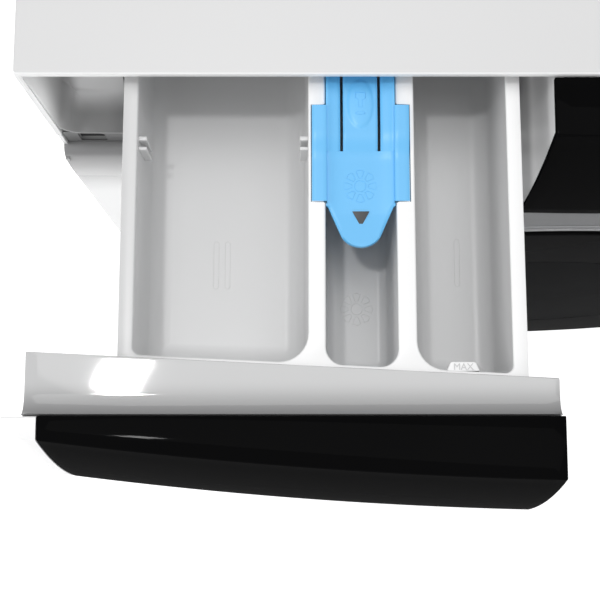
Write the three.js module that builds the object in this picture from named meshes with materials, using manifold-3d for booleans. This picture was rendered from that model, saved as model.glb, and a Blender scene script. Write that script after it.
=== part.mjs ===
// A front load washing machine with its detergent drawer pulled out.
// Millimetres, +Z up, +Y towards the back, +X to the right of someone who stands in front of it.
// While it is built, x = 0 is the middle of the machine, y = 0 is the worktop's front edge and
// z = 0 is the floor. The exported group moves all of it so that the origin lies on the floor, in the
// middle of the machine with its drawer out.

import * as THREE from 'three';
import { mergeVertices } from 'three/addons/utils/BufferGeometryUtils.js';
import Module from 'manifold-3d';

// ---------------------------------------------------------------- driving dimensions

const HALF = 297.5; // half of the 595 mm width
const HEIGHT = 850;
const TOP_REAR = 541; // the worktop's rear edge
const REAR = 528.4; // the outside of the rear panel
const INLET_REACH = 548; // the furthest point at the back
const SHEET = 2; // folded steel sheet
const GAP = 0.4; // between pieces that touch

const FACE = -6.5; // the front panel's plane
const DOOR_Z = 442; // height of the drum's axis, and of the door's centre
const DOOR_R = 237.5;
const DOOR_FRONT = -37;

const CONSOLE_TOP = 846;
const CONSOLE_BOTTOM = 762;
const CONSOLE_LEAN = 15.4; // how much further forward the fascia's lower edge stands
const CONSOLE_BULGE = 2.4; // how far the face curves out between its edges
const BOW_DEPTH = 28.5; // how far the console's top edge bows out at the middle of the machine
const BOW_RATE = 2.213e-4; // and how it falls back towards the sides, per mm squared
const SKIN = 3; // thickness of the black fascias

const DRAWER_TRAVEL = 153.6;
const DRAWER_LEFT = -281.5;
const DRAWER_RIGHT = -51.5;
const TRAY_RIM = 838;
const TRAY_FLOOR = 790;
const CAP_X = -139.3; // the middle of the softener compartment
const CAP_Z = 835;

const TUB_R = 256; // inside radius of the tub
const TUB_WALL = 6;
const TUB_FLANGE = 270; // outside radius of the flanges that join the tub's halves
const HEATER_Z = 194.5;
const EAR_Z = 594; // the underside of the tub's ears for the springs
const DRUM_R = 238;
const DRUM_FRONT = 70.5;
const DRUM_REAR = 376;
const SHAFT_R = 15;
const MOTOR_X = -30;
const MOTOR_Z = 113;
const PULLEY_Y = 440;
const PULLEY_R = 140;
const MOTOR_PULLEY_R = 9;
const SPRING_X = 240;
const SPRING_Y = 250;
const DAMPER_X = 200;

const HINGE_X = -229; // the door hinge's pin
const HINGE_Y = -25;
const HINGE_HALF = 58; // half of the hinge's height
const LATCH_X = 212;

const KNOB_X = 42;
const BUTTON_X = 255;
const PUMP_X = 205;
const PUMP_Z = 88;
const FOOT_X = 268;
const FOOT_FRONT = 40;
const FOOT_BACK = 490;

const PANEL_BASE = 26; // the lower edge of the side and rear panels
const PANEL_TOP = 825.6; // and their upper edge, under the worktop
const TOP_BASE = 826; // the worktop's lower edge
const SILL = 757; // the underside of the console and the top of the bar below the drawer
const INLET = [-225, 795]; // x and z of the water inlet, of the drain's end and of the cord's gland
const DRAIN = [245, 92];
const GLAND = [-235, 110];
const COVER_HOLE_R = 150; // the opening in the rear panel over the pulley
const SPOUT = [-200, 235]; // x and y of the dispenser's outlet

const ROUND = 28; // facets around a large turned piece
const DISC = 36; // around the door's and the drum's pieces
const SMALL = 12; // around a small one

// ---------------------------------------------------------------- colours

const finish = (color, roughness, metalness = 0) =>
  new THREE.MeshStandardMaterial({ color, roughness, metalness });
const WHITE = finish(0xe9eaea, 0.35);
const PLASTIC = finish(0xdcdddd, 0.45);
const GREY = finish(0xa9abad, 0.55);
const BLACK = finish(0x0d0d0e, 0.12);
const BLUE = finish(0x6fc1f0, 0.4);
const STEEL = finish(0xb8bbbe, 0.3, 0.9);
const GALVANISED = finish(0x9da1a5, 0.5, 0.8);
const RUBBER = finish(0x2b2c2e, 0.8);
const CONCRETE = finish(0x8d8b86, 0.9);
const GLASS = finish(0x9fb0b6, 0.08);
const COPPER = finish(0x2f6a45, 0.6);

// ---------------------------------------------------------------- solids

const wasm = await Module();
wasm.setup();

// Makes a closed geometry a solid: merges its vertices, drops the flat triangles that merging leaves
// at a pole, and turns its faces outwards.
function solid(geometry) {
  const bare = geometry.clone();
  bare.deleteAttribute('normal');
  bare.deleteAttribute('uv');
  const merged = mergeVertices(bare, 1e-4);
  const index = merged.index.array;
  const kept = [];
  for (let i = 0; i < index.length; i += 3) {
    const [a, b, c] = [index[i], index[i + 1], index[i + 2]];
    if (a !== b && b !== c && c !== a) kept.push(a, b, c);
  }
  const build = (triVerts) =>
    new wasm.Manifold(
      new wasm.Mesh({
        numProp: 3,
        vertProperties: new Float32Array(merged.attributes.position.array),
        triVerts: new Uint32Array(triVerts),
      }),
    );
  const made = build(kept);
  if (made.volume() > 0) return made;
  for (let i = 0; i < kept.length; i += 3) [kept[i + 1], kept[i + 2]] = [kept[i + 2], kept[i + 1]];
  return build(kept);
}

const join = (...solids) => solids.reduce((a, b) => a.add(b));
const cut = (body, ...tools) => tools.reduce((a, b) => a.subtract(b), body);

// A box between two corners.
function box(x0, x1, y0, y1, z0, z1) {
  const geometry = new THREE.BoxGeometry(Math.abs(x1 - x0), Math.abs(y1 - y0), Math.abs(z1 - z0));
  return solid(geometry.translate((x0 + x1) / 2, (y0 + y1) / 2, (z0 + z1) / 2));
}

// An outline extruded along an axis. It is drawn in (x, y) for 'z', (y, z) for 'x' and (x, z) for 'y'.
const PLANES = {
  z: [new THREE.Vector3(1, 0, 0), new THREE.Vector3(0, 1, 0), new THREE.Vector3(0, 0, 1)],
  x: [new THREE.Vector3(0, 1, 0), new THREE.Vector3(0, 0, 1), new THREE.Vector3(1, 0, 0)],
  y: [new THREE.Vector3(1, 0, 0), new THREE.Vector3(0, 0, 1), new THREE.Vector3(0, -1, 0)],
};
function prism(axis, from, to, shape, curveSegments = 2) {
  const geometry = new THREE.ExtrudeGeometry(shape, {
    depth: to - from,
    bevelEnabled: false,
    curveSegments,
  });
  geometry.translate(0, 0, axis === 'y' ? -to : from);
  return solid(geometry.applyMatrix4(new THREE.Matrix4().makeBasis(...PLANES[axis])));
}

const polygon = (...points) => new THREE.Shape(points.map(([u, v]) => new THREE.Vector2(u, v)));

// A rectangle with round corners.
function roundRect(u0, u1, v0, v1, r) {
  const shape = new THREE.Shape();
  shape.absarc(u1 - r, v1 - r, r, 0, Math.PI / 2);
  shape.absarc(u0 + r, v1 - r, r, Math.PI / 2, Math.PI);
  shape.absarc(u0 + r, v0 + r, r, Math.PI, 1.5 * Math.PI);
  shape.absarc(u1 - r, v0 + r, r, 1.5 * Math.PI, 2 * Math.PI);
  shape.closePath();
  return shape;
}

// A profile of (radius, y) points turned about an axis that runs from front to back.
// A ring's profile closes on itself, and a full body's starts and ends on the axis.
function turned(profile, x = 0, z = DOOR_Z, segments = ROUND) {
  const points = profile.map(([r, y]) => new THREE.Vector2(r, y));
  if (profile[0][0] > 0) points.push(points[0].clone());
  return solid(new THREE.LatheGeometry(points, segments).translate(x, 0, z));
}

// The same about an upright axis, from (radius, z) points.
function turnedUpright(profile, x, y, segments = SMALL) {
  const points = profile.map(([r, z]) => new THREE.Vector2(r, z));
  if (profile[0][0] > 0) points.push(points[0].clone());
  return solid(new THREE.LatheGeometry(points, segments).rotateX(Math.PI / 2).translate(x, y, 0));
}

// Round bars along Y and along Z.
const barY = (r, y0, y1, x, z, n = SMALL) => turned([[0, y0], [r, y0], [r, y1], [0, y1]], x, z, n);
const barZ = (r, z0, z1, x, y, n = SMALL) =>
  turnedUpright([[0, z0], [r, z0], [r, z1], [0, z1]], x, y, n);

// A round bar along a curve.
function rod(curve, r, steps, sides = 8) {
  const section = new THREE.Shape();
  section.absarc(0, 0, r, 0, 2 * Math.PI);
  return solid(
    new THREE.ExtrudeGeometry(section, {
      steps,
      extrudePath: curve,
      curveSegments: sides / 2,
      bevelEnabled: false,
    }),
  );
}
const smooth = (...points) => new THREE.CatmullRomCurve3(points.map((p) => new THREE.Vector3(...p)));

// A solid whose (y, z) section changes along x. Every section has the same number of points.
function loft(stations, section) {
  const rings = stations.map((x) => section(x).map(([y, z]) => new THREE.Vector3(x, y, z)));
  const count = rings[0].length;
  const caps = THREE.ShapeUtils.triangulateShape(
    rings[0].map((p) => new THREE.Vector2(p.y, p.z)),
    [],
  );
  const index = [];
  for (let i = 0; i + 1 < rings.length; i++) {
    for (let k = 0; k < count; k++) {
      const [a, b] = [i * count + k, i * count + ((k + 1) % count)];
      index.push(a, b, b + count, a, b + count, a + count);
    }
  }
  const last = (rings.length - 1) * count;
  for (const [a, b, c] of caps) {
    index.push(c, b, a);
    index.push(last + a, last + b, last + c);
  }
  const geometry = new THREE.BufferGeometry().setFromPoints(rings.flat());
  geometry.setIndex(index);
  return solid(geometry);
}
const stations = (x0, x1, count) =>
  Array.from({ length: count + 1 }, (_, i) => x0 + ((x1 - x0) * i) / count);

// ---------------------------------------------------------------- the console's common shape

// How far the top edge of the console stands in front of the worktop's edge. It bows out along the
// width, and it rounds off into the side in the last millimetres.
const CORNER = 15.5;
function bow(x) {
  const flat = HALF - CORNER;
  const over = Math.min(Math.max((Math.abs(x) - flat) / CORNER, 0), 0.995);
  const reach = BOW_DEPTH - BOW_RATE * Math.min(Math.abs(x), flat) ** 2;
  return reach * Math.sqrt(1 - over * over);
}

// Points down the console's face at x, from its top edge to its lower edge, inset from the surface.
function face(x, inset, top = CONSOLE_TOP, bottom = CONSOLE_BOTTOM, steps = 4) {
  const points = [];
  for (let i = 0; i <= steps; i++) {
    const t = i / steps;
    const lean = CONSOLE_LEAN * Math.min(1, bow(x) / 10);
    const out = bow(x) + lean * t + 4 * CONSOLE_BULGE * t * (1 - t);
    points.push([-out + inset, top + (bottom - top) * t]);
  }
  return points;
}

// A black fascia: a top plate from the worktop's edge forward, and the face below it.
function fascia(x0, x1, rear) {
  return loft(stations(x0, x1, 10), (x) => [
    [rear, CONSOLE_TOP + 1],
    ...face(x, 0),
    ...face(x, SKIN, CONSOLE_TOP - SKIN).reverse(),
    [rear, CONSOLE_TOP + 1 - SKIN],
  ]);
}

// The face's outward normal, and a bar that stands on the face.
const LEAN_ANGLE = Math.atan2(CONSOLE_LEAN, CONSOLE_TOP - CONSOLE_BOTTOM);
function onFace(x, t) {
  const [y, z] = face(x, 0, CONSOLE_TOP, CONSOLE_BOTTOM, 8)[Math.round(t * 8)];
  return (profile, segments = SMALL) => {
    const points = profile.map(([r, out]) => new THREE.Vector2(r, -out));
    if (profile[0][0] > 0) points.push(points[0].clone());
    const geometry = new THREE.LatheGeometry(points, segments);
    return solid(geometry.rotateX(-LEAN_ANGLE).translate(x, y, z));
  };
}
const atKnob = onFace(KNOB_X, 0.5);
const atButton = onFace(BUTTON_X, 0.5);
const hole = (r, depth) => [[0, 12], [r, 12], [r, -depth], [0, -depth]];

// ---------------------------------------------------------------- cabinet

function topPanel() {
  const shell = prism('z', TOP_BASE, HEIGHT, roundRect(-HALF, HALF, 0, TOP_REAR, 1.5));
  const hollow = box(-HALF + 4, HALF - 4, -1, TOP_REAR - 4, TOP_BASE - 6, HEIGHT - 3.5);
  const rib = (y) => box(-HALF + 3, HALF - 3, y, y + 3, 838, HEIGHT - 3);
  return join(cut(shell, hollow), rib(320), rib(430));
}

// side is -1 for the left panel and 1 for the right one.
function sidePanel(side) {
  const wall = (a, b, y0, y1, z0, z1) => box(side * a, side * b, y0, y1, z0, z1);
  const rear = REAR - SHEET - GAP;
  return join(
    wall(HALF - SHEET, HALF, 1, rear, PANEL_BASE, PANEL_TOP),
    wall(HALF - 16, HALF, 1, 1 + SHEET, PANEL_BASE, 735),
    wall(HALF - 15, HALF, rear - SHEET, rear, PANEL_BASE, PANEL_TOP),
    wall(SPRING_X - 14, HALF - 1, SPRING_Y - 12, SPRING_Y + 12, 742, 745), // the spring's bracket
    wall(HALF - 34, HALF - 1, SPRING_Y - 2, SPRING_Y + 2, 716, 743),
  );
}

function rearPanel() {
  return cut(
    box(-HALF, HALF, REAR - SHEET, REAR, PANEL_BASE, PANEL_TOP),
    barY(COVER_HOLE_R, REAR - 10, REAR + 10, 0, DOOR_Z, ROUND),
    barY(15, REAR - 10, REAR + 10, ...INLET),
    barY(14, REAR - 10, REAR + 10, ...DRAIN),
    barY(9, REAR - 10, REAR + 10, ...GLAND),
  );
}

// A dished cover over the pulley.
function rearCover() {
  const seat = REAR + GAP;
  return turned([
    [0, 534.5], [139, 534.5], [COVER_HOLE_R + 1, seat], [165, seat], [165, seat + SHEET],
    [COVER_HOLE_R + 2, seat + SHEET], [140, 534.5 + SHEET], [0, 534.5 + SHEET],
  ]);
}

function baseFrame() {
  const pan = prism('z', 22, 62, roundRect(-294.8, 294.8, 5, 523.6, 6));
  const well = box(-290, 290, 10, 518, 26, 70);
  const vent = box(-150, 150, 130, 420, 20, 30);
  const feet = [];
  for (const x of [-FOOT_X, FOOT_X]) {
    for (const y of [FOOT_FRONT, FOOT_BACK]) feet.push([x, y]);
  }
  const bosses = feet.map(([x, y]) => barZ(14, 22.5, 58, x, y));
  const threads = feet.map(([x, y]) => barZ(6.4, 15, 65, x, y));
  const pads = [-DAMPER_X, DAMPER_X].map((x) => box(x - 18, x + 18, SPRING_Y - 18, SPRING_Y + 18, 25, 45));
  return cut(join(cut(pan, well, vent), ...bosses, ...pads), ...threads);
}

// The sheet front: its top edge rolls back under the console, and a collar stands around the porthole.
function frontPanel() {
  const inner = FACE + SHEET;
  const sheet = prism('x', -HALF, HALF, polygon(
    [FACE, 18], [FACE, 715], [-6, 728], [-4.4, 736.5], [-1, 739.6], [2.6, 740],
    [2.6, 738], [-0.2, 737.6], [-2.6, 735], [-4, 727], [inner, 715], [inner, 20], [4, 20], [4, 18],
  ));
  const edge = (side) => box(side * (HALF - SHEET), side * HALF, FACE + 0.5, 0.6, 18, 735);
  const relief = (side) => box(side * (HALF - SHEET - GAP), side * (HALF + 1), 0.6, 5, 730, 745);
  const collar = turned([[170, FACE], [174, FACE], [174, 8], [172, 8], [170, 6]]);
  return join(
    cut(
      join(sheet, edge(-1), edge(1)),
      barY(172, -20, 20, 0, DOOR_Z, ROUND),
      box(154, 256, -20, -3, 41, 129), // the filter's flap
      box(203, 221, -20, -3, 424, 460), // the latch
      relief(-1),
      relief(1),
    ),
    collar,
  );
}

// The white frame of the console: a shell behind the black glass, a bar under the drawer, and the
// round end at the right.
function consoleFrame() {
  const left = -50.5;
  const end = HALF - CORNER;
  const block = loft([...stations(left, end + 0.3, 10)], (x) => [
    [30, CONSOLE_TOP - SKIN],
    ...face(x, SKIN + GAP, CONSOLE_TOP - SKIN - GAP, CONSOLE_BOTTOM - 0.6),
    [-bow(x) - CONSOLE_LEAN + 1, CONSOLE_BOTTOM - 0.6],
    [-bow(x) - CONSOLE_LEAN + 1.4, SILL + 1.5],
    [-bow(x) - CONSOLE_LEAN + 3.4, SILL],
    [30, SILL],
  ]);
  const hollow = loft(stations(left + 4, HALF - 6, 6), (x) => {
    const front = BOW_RATE * x * x - BOW_DEPTH;
    return [[40, CONSOLE_TOP - 7], [front + 10, CONSOLE_TOP - 7], [front - 5, SILL + 4], [40, SILL + 4]];
  });
  const roundEnd = loft([end + 0.2, end + 5, end + 10, end + 13.5, HALF - 0.2], (x) => [
    [-0.6, CONSOLE_TOP], ...face(x, 0), [-bow(x) * 1.4 + 0.6, SILL], [-0.6, SILL],
  ]);
  const bar = box(-295, 295, 3, 26, 740.5, SILL + 0.5);
  const slot = box(-287.5, -272.4, 0, 30, 742.6, 755.5);
  const tie = box(285, 293.4, -4, 30, SILL, PANEL_TOP - 1.6);
  return cut(
    join(cut(block, hollow), roundEnd, cut(bar, box(-300, left, 0, 30, SILL, SILL + 3), slot), tie),
    atKnob(hole(6, 20)),
    atButton(hole(9.4, 8)),
  );
}

function consoleGlass() {
  return cut(
    fascia(-50.9, HALF - CORNER - 0.2, -GAP),
    atKnob(hole(6, 20)),
    atButton(hole(9.4, 10)),
  );
}

// A shell that the drawer slides in, open at the front, with a spout that leads to the tub.
function dispenserHousing() {
  const outer = box(-262, -56, 32, 282, 752, 844.8);
  const inner = box(-259.5, -58.5, 20, 279.5, 755, 842.4);
  const spout = barZ(18, 735, 754, ...SPOUT);
  return cut(join(cut(outer, inner), spout), barZ(14, 730, 760, ...SPOUT));
}

function inletValve() {
  const body = box(-247, -203, 492, 518, 772, 818);
  const coil = barY(13, 466, 494, -236, 795);
  const nipple = barY(13.2, 516, INLET_REACH, ...INLET);
  return cut(join(body, coil, nipple), barY(7, 524, INLET_REACH + 5, ...INLET));
}

function controlBoard() {
  const board = box(75, 262, 8, 10, 768, 836);
  const transformer = box(200, 238, 9, 34, 776, 810);
  const capacitors = [95, 116].map((x) => barY(8, 9, 30, x, 786, 12));
  const relays = [140, 162].map((x) => box(x - 8, x + 8, 9, 24, 778, 802));
  return join(board, transformer, ...capacitors, ...relays);
}

// The pump behind the flap: a filter housing that is open at the front, a volute, its motor, and the
// drain pipe to the back.
function drainPump() {
  const housing = barY(30, 12, 112, PUMP_X, PUMP_Z);
  const volute = barY(34, 108, 136, PUMP_X, PUMP_Z);
  const motor = barY(23, 134, 188, PUMP_X, PUMP_Z);
  const pipe = rod(
    smooth([PUMP_X + 8, 122, 110], [232, 150, 128], [250, 220, 128], [250, 380, 112],
      [DRAIN[0], 480, DRAIN[1] + 1], [DRAIN[0], INLET_REACH + 4, DRAIN[1]]),
    10, 22, 8,
  );
  const pastSpigot = box(DRAIN[0] - 20, DRAIN[0] + 20, INLET_REACH - 2, INLET_REACH + 20, 70, 115);
  return cut(
    join(housing, volute, motor, pipe),
    pastSpigot,
    barY(25, 5, 92, PUMP_X, PUMP_Z),
    barY(6, 500, INLET_REACH + 5, ...DRAIN),
  );
}

function doorLock() {
  return cut(box(198, 226, -4.1, 22, 408, 476), box(204, 220, -10, 14, 426, 458));
}

// The plate, lugs and pin that carry the door. Each lug leaves its pin towards the middle, so that the
// disc's edge can swing round behind the pin.
function hingeBracket() {
  const low = DOOR_Z - HINGE_HALF;
  const high = DOOR_Z + HINGE_HALF;
  const eye = stations(50, 300, 10).map((degrees) => {
    const a = (degrees * Math.PI) / 180;
    return [HINGE_X + 7 * Math.cos(a), HINGE_Y + 7 * Math.sin(a)];
  });
  const neck = [[HINGE_X + 17, HINGE_Y + 4], [HINGE_X + 18, HINGE_Y + 12], [HINGE_X + 18, -7.2],
    [HINGE_X + 10, -7.2]];
  const lug = (z0, z1) => prism('z', z0, z1, polygon(...eye, ...neck));
  return join(
    box(-245, -205, -8.6, -6.8, low, high),
    lug(low + 1, low + 9),
    lug(high - 9, high - 1),
    barZ(4, low + 4, high - 4, HINGE_X, HINGE_Y, 16),
  );
}

function damperBody(side) {
  return turnedUpright(
    [[0, 45.4], [16, 45.4], [16, 175], [11.5, 175], [11.5, 60], [0, 60]], side * DAMPER_X, SPRING_Y);
}

// The bellows between the porthole's collar and the tub's neck.
function doorGasket() {
  return turned([
    [143, -2], [169.4, -2], [169.4, 12], [177, 18], [177, 34], [159.4, 40], [159.4, 60], [154, 60],
    [154, 36], [172, 31], [172, 21], [164, 14], [164, 4], [143, 4],
  ]);
}

function sumpHose() {
  return rod(smooth([95, 112, 180], [112, 108, 155], [140, 92, 118], [162, 76, 94]), 13, 8, 8);
}

function cordGland() {
  const profile = [
    [4, 515], [12, 515], [12, 525.6], [8.4, 525.6], [8.4, REAR + GAP], [14, REAR + GAP], [14, 532],
    [9, 537], [4, 537],
  ];
  return turned(profile, ...GLAND, SMALL);
}

// ---------------------------------------------------------------- tub

function tubFront() {
  const outer = TUB_R + TUB_WALL;
  const shell = turned([
    [160, 50], [164, 50], [164, 62], [outer - 4, 62], [outer, 66], [outer, 220], [TUB_FLANGE, 220],
    [TUB_FLANGE, 228], [TUB_R, 228], [TUB_R, 68], [TUB_R - 2, 66], [160, 66],
  ]);
  const heaterHoles = [-18, 18].map((x) => barY(6, 55, 75, x, HEATER_Z));
  return cut(shell, ...heaterHoles);
}

// The rear half, with the bearings' hub, two ears for the springs and two lugs for the dampers.
function tubRear() {
  const outer = TUB_R + TUB_WALL;
  const shell = turned([
    [TUB_R, 228.4], [TUB_FLANGE, 228.4], [TUB_FLANGE, 236], [outer, 236], [outer, 406], [outer - 4, 410],
    [46, 410], [46, 434], [31.7, 434], [31.7, 396], [46, 396], [46, 402], [TUB_R - 2, 402],
    [TUB_R, 400],
  ]);
  const ears = [-1, 1].map((s) =>
    box(s * 204, s * (SPRING_X + 12), SPRING_Y - 11, SPRING_Y + 11, EAR_Z, EAR_Z + 8));
  const lugs = [-1, 1].map((s) =>
    box(s * (DAMPER_X - 14), s * (DAMPER_X + 14), SPRING_Y - 13, SPRING_Y + 13, 255, 292));
  const inside = turned([[0, 240], [TUB_R + 2, 240], [TUB_R + 2, 300], [0, 300]]);
  return join(shell, ...[...ears, ...lugs].map((piece) => cut(piece, inside)));
}

// A block shaped to lie on the tub, and an open ring in front of it.
function topCounterweight() {
  const half = 105;
  const crown = 738;
  const r = TUB_R + TUB_WALL + 1.2;
  const angle = Math.asin(half / r);
  const shape = new THREE.Shape();
  shape.absarc(0, DOOR_Z, r, Math.PI / 2 + angle, Math.PI / 2 - angle, true);
  shape.lineTo(half, crown - 8);
  shape.lineTo(half - 8, crown);
  shape.lineTo(8 - half, crown);
  shape.lineTo(-half, crown - 8);
  shape.closePath();
  return prism('y', 90, 215, shape, 6);
}
function frontCounterweight() {
  const ring = turned([[185, 38], [250, 38], [255, 43], [255, 61.5], [185, 61.5]]);
  return cut(ring, box(-42, 42, 30, 70, 150, DOOR_Z));
}

// A loop of heating rod along the bottom of the tub, with its terminal block outside.
function heater() {
  const z = HEATER_Z;
  const loop = rod(
    smooth([-18, 54, z], [-18, 120, z], [-18, 280, z], [-12, 304, z - 0.5], [0, 312, z - 1],
      [12, 304, z - 0.5], [18, 280, z], [18, 120, z], [18, 54, z]),
    4, 26, 6,
  );
  return join(loop, box(-34, 34, 48, 56, z - 8.5, z + 8.5));
}

function motorBody() {
  const profile = [[0, 300], [52, 300], [54, 306], [54, 409], [48, 416], [0, 416]];
  const can = turned(profile, MOTOR_X, MOTOR_Z);
  const lug = box(MOTOR_X - 16, MOTOR_X + 16, 318, 402, 150, 179);
  return cut(join(can, lug), barY(7, 404, 420, MOTOR_X, MOTOR_Z));
}

// A ball bearing as its ring.
function bearing(y) {
  return turned([[15.7, y], [31.2, y], [31.2, y + 14], [15.7, y + 14]], 0, DOOR_Z, 32);
}

function damperRod(side) {
  return barZ(8.5, 95, 254.6, side * DAMPER_X, SPRING_Y);
}

class Helix extends THREE.Curve {
  constructor(x, y, z0, z1, r, turns) {
    super();
    Object.assign(this, { x, y, z0, z1, r, turns });
  }
  getPoint(t) {
    const a = 2 * Math.PI * this.turns * t;
    const [x, y] = [this.x + this.r * Math.cos(a), this.y + this.r * Math.sin(a)];
    return new THREE.Vector3(x, y, this.z0 + (this.z1 - this.z0) * t);
  }
}
function spring(side) {
  const [seat, hook] = [EAR_Z + 10.6, 739.4];
  return rod(new Helix(side * SPRING_X, SPRING_Y, seat, hook, 11, 8), 1.9, 72, 4);
}

// The belt's outline: arcs round both pulleys, with straight runs between them.
function beltLoop(r1, r2) {
  const [dx, dz] = [MOTOR_X, MOTOR_Z - DOOR_Z];
  const along = Math.atan2(dz, dx);
  const spread = Math.acos((r1 - r2) / Math.hypot(dx, dz));
  const loop = new THREE.Shape();
  loop.absarc(0, DOOR_Z, r1, along + spread, along - spread + 2 * Math.PI);
  loop.absarc(MOTOR_X, MOTOR_Z, r2, along - spread, along + spread);
  loop.closePath();
  return loop;
}
function driveBelt() {
  const [y0, y1] = [PULLEY_Y + 1.5, PULLEY_Y + 12.5];
  return cut(
    prism('y', y0, y1, beltLoop(PULLEY_R + 4, MOTOR_PULLEY_R + 4), 14),
    prism('y', y0 - 1, y1 + 1, beltLoop(PULLEY_R + 1, MOTOR_PULLEY_R + 1), 14),
  );
}

// ---------------------------------------------------------------- drum

function drumShell() {
  return turned([
    [0, DRUM_REAR], [DRUM_R, DRUM_REAR], [DRUM_R, 80], [229, DRUM_FRONT], [158, DRUM_FRONT],
    [150, 75], [150, 77], [158, 73], [228, 73], [236, 81], [236, DRUM_REAR - 2], [0, DRUM_REAR - 2],
  ], 0, DOOR_Z, DISC);
}

// A paddle inside the drum, index 0 at the bottom.
function lifter(index) {
  const shape = polygon(
    [-28, -233], [-22, -212], [-10, -194], [0, -190], [10, -194], [22, -212], [28, -233],
    [14, -234.2], [0, -234.8], [-14, -234.2],
  );
  return (group, name) => {
    const mesh = part(group, name, prism('y', 95, 350, shape), PLASTIC);
    mesh.rotation.y = (index * 2 * Math.PI) / 3;
  };
}

function drumSpider() {
  const y = DRUM_REAR + GAP;
  const hub = barY(40, y, 394, 0, 0, ROUND);
  const arms = [0, 1, 2].map((i) => {
    const arm = polygon([-22, 0], [-12, 222], [12, 222], [22, 0]);
    const geometry = new THREE.ExtrudeGeometry(arm, { depth: 10, bevelEnabled: false });
    geometry.rotateX(Math.PI / 2).translate(0, y + 10, 0).rotateY((i * 2 * Math.PI) / 3);
    return solid(geometry);
  });
  return cut(join(hub, ...arms), barY(SHAFT_R + 0.5, y - 5, 400, 0, 0, ROUND));
}

function drumShaft() {
  const start = DRUM_REAR + 1;
  const profile = [[0, start], [SHAFT_R, start], [SHAFT_R, 437], [12, 437], [12, 462], [0, 462]];
  return turned(profile, 0, DOOR_Z, 24);
}

function drumPulley() {
  const y = PULLEY_Y;
  const wheel = turned([
    [12.5, y - 2], [24, y - 2], [24, y + 5], [132, y + 5], [132, y], [PULLEY_R, y],
    [PULLEY_R, y + 14], [132, y + 14], [132, y + 9], [24, y + 9], [24, y + 16], [12.5, y + 16],
  ], 0, 0, 24);
  const windows = [0, 1, 2, 3, 4].map((i) => {
    const a = (i * 2 * Math.PI) / 5;
    return barY(28, y - 5, y + 20, 78 * Math.cos(a), 78 * Math.sin(a), 10);
  });
  return cut(wheel, ...windows);
}

// The rotor's shaft end with its pulley.
function motorPulley() {
  const r = MOTOR_PULLEY_R;
  return turned([
    [0, 408], [5.6, 408], [5.6, 436], [r + 5, 437], [r + 5, 439], [r, 440], [r, 454], [r + 5, 455],
    [r + 5, 457], [0, 457],
  ], MOTOR_X, MOTOR_Z, 20);
}

// ---------------------------------------------------------------- door

// The outer ring, open at its left side for the hinge and scooped at its right side for the fingers.
function doorRim() {
  const rear = -10;
  const ring = turned([
    [200, -32.6], [236, -32.6], [236, -16], [231, rear], [200, rear],
  ], 0, DOOR_Z, DISC);
  return cut(
    ring,
    box(-245, -205, -40, 0, DOOR_Z - HINGE_HALF, DOOR_Z + HINGE_HALF),
    box(214, 245, -28, 0, DOOR_Z - 46, DOOR_Z + 46),
  );
}

function doorFrontGlass() {
  const r = DOOR_R;
  return turned([
    [0, DOOR_FRONT], [r - 4, DOOR_FRONT], [r - 1, DOOR_FRONT + 1], [r, DOOR_FRONT + 2.5],
    [r - 0.6, -33], [0, -33],
  ], 0, DOOR_Z, DISC);
}

// The bowl that keeps the laundry in the drum, open towards the front glass.
function doorBowl() {
  return turned([
    [0, 82], [70, 81], [98, 76], [106, 66], [140, 0], [140, -11.2], [158, -11.2], [158, -16],
    [134, -16], [134, -1], [101, 64], [94, 71], [68, 76], [0, 77],
  ], 0, DOOR_Z, DISC);
}

function doorInnerRing() {
  return turned([
    [158.6, -32.4], [199.4, -32.4], [199.4, -10], [194, -9.2], [142, -9.2], [142, -10.8],
    [158.6, -10.8],
  ], 0, DOOR_Z, DISC);
}

function doorHingeArm() {
  const [low, high] = [DOOR_Z - HINGE_HALF + 9.6, DOOR_Z + HINGE_HALF - 9.6];
  const knuckle = barZ(8, low, high, HINGE_X, HINGE_Y);
  const plate = box(HINGE_X + 3, -205.5, -27, -23, low, high);
  return cut(join(knuckle, plate), barZ(4.6, low - 5, high + 5, HINGE_X, HINGE_Y, 16));
}

// The hook that the lock catches.
function doorLatch() {
  return prism('z', 430, 454, polygon(
    [LATCH_X - 4, -9], [LATCH_X + 3, -9], [LATCH_X + 3, 2], [LATCH_X + 7, 6], [LATCH_X + 3, 11],
    [LATCH_X - 4, 11],
  ));
}

// ---------------------------------------------------------------- drawer, drawn shut

// The drawer's parts lean a little: its left side runs further back than its right side.
const SLANT = -0.05;
const SHELF_TOP = 841.5;
const SHELF_UNDER = 838.4;
const shelfBack = (x) => 25.7 + SLANT * (x + 236);
const trayFront = (x) => shelfBack(x) + 1.4;

// A slab whose front edge follows the slant, with round corners there.
function slantedSlab(x0, x1, yRear, front, z0, z1, r) {
  const shape = new THREE.Shape();
  shape.moveTo(x1, yRear);
  shape.lineTo(x0, yRear);
  shape.lineTo(x0, front(x0) + r);
  shape.quadraticCurveTo(x0, front(x0), x0 + r, front(x0 + r));
  shape.lineTo(x1 - r, front(x1 - r));
  shape.quadraticCurveTo(x1, front(x1), x1, front(x1) + r);
  shape.closePath();
  return prism('z', z0, z1, shape, 5);
}

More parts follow.
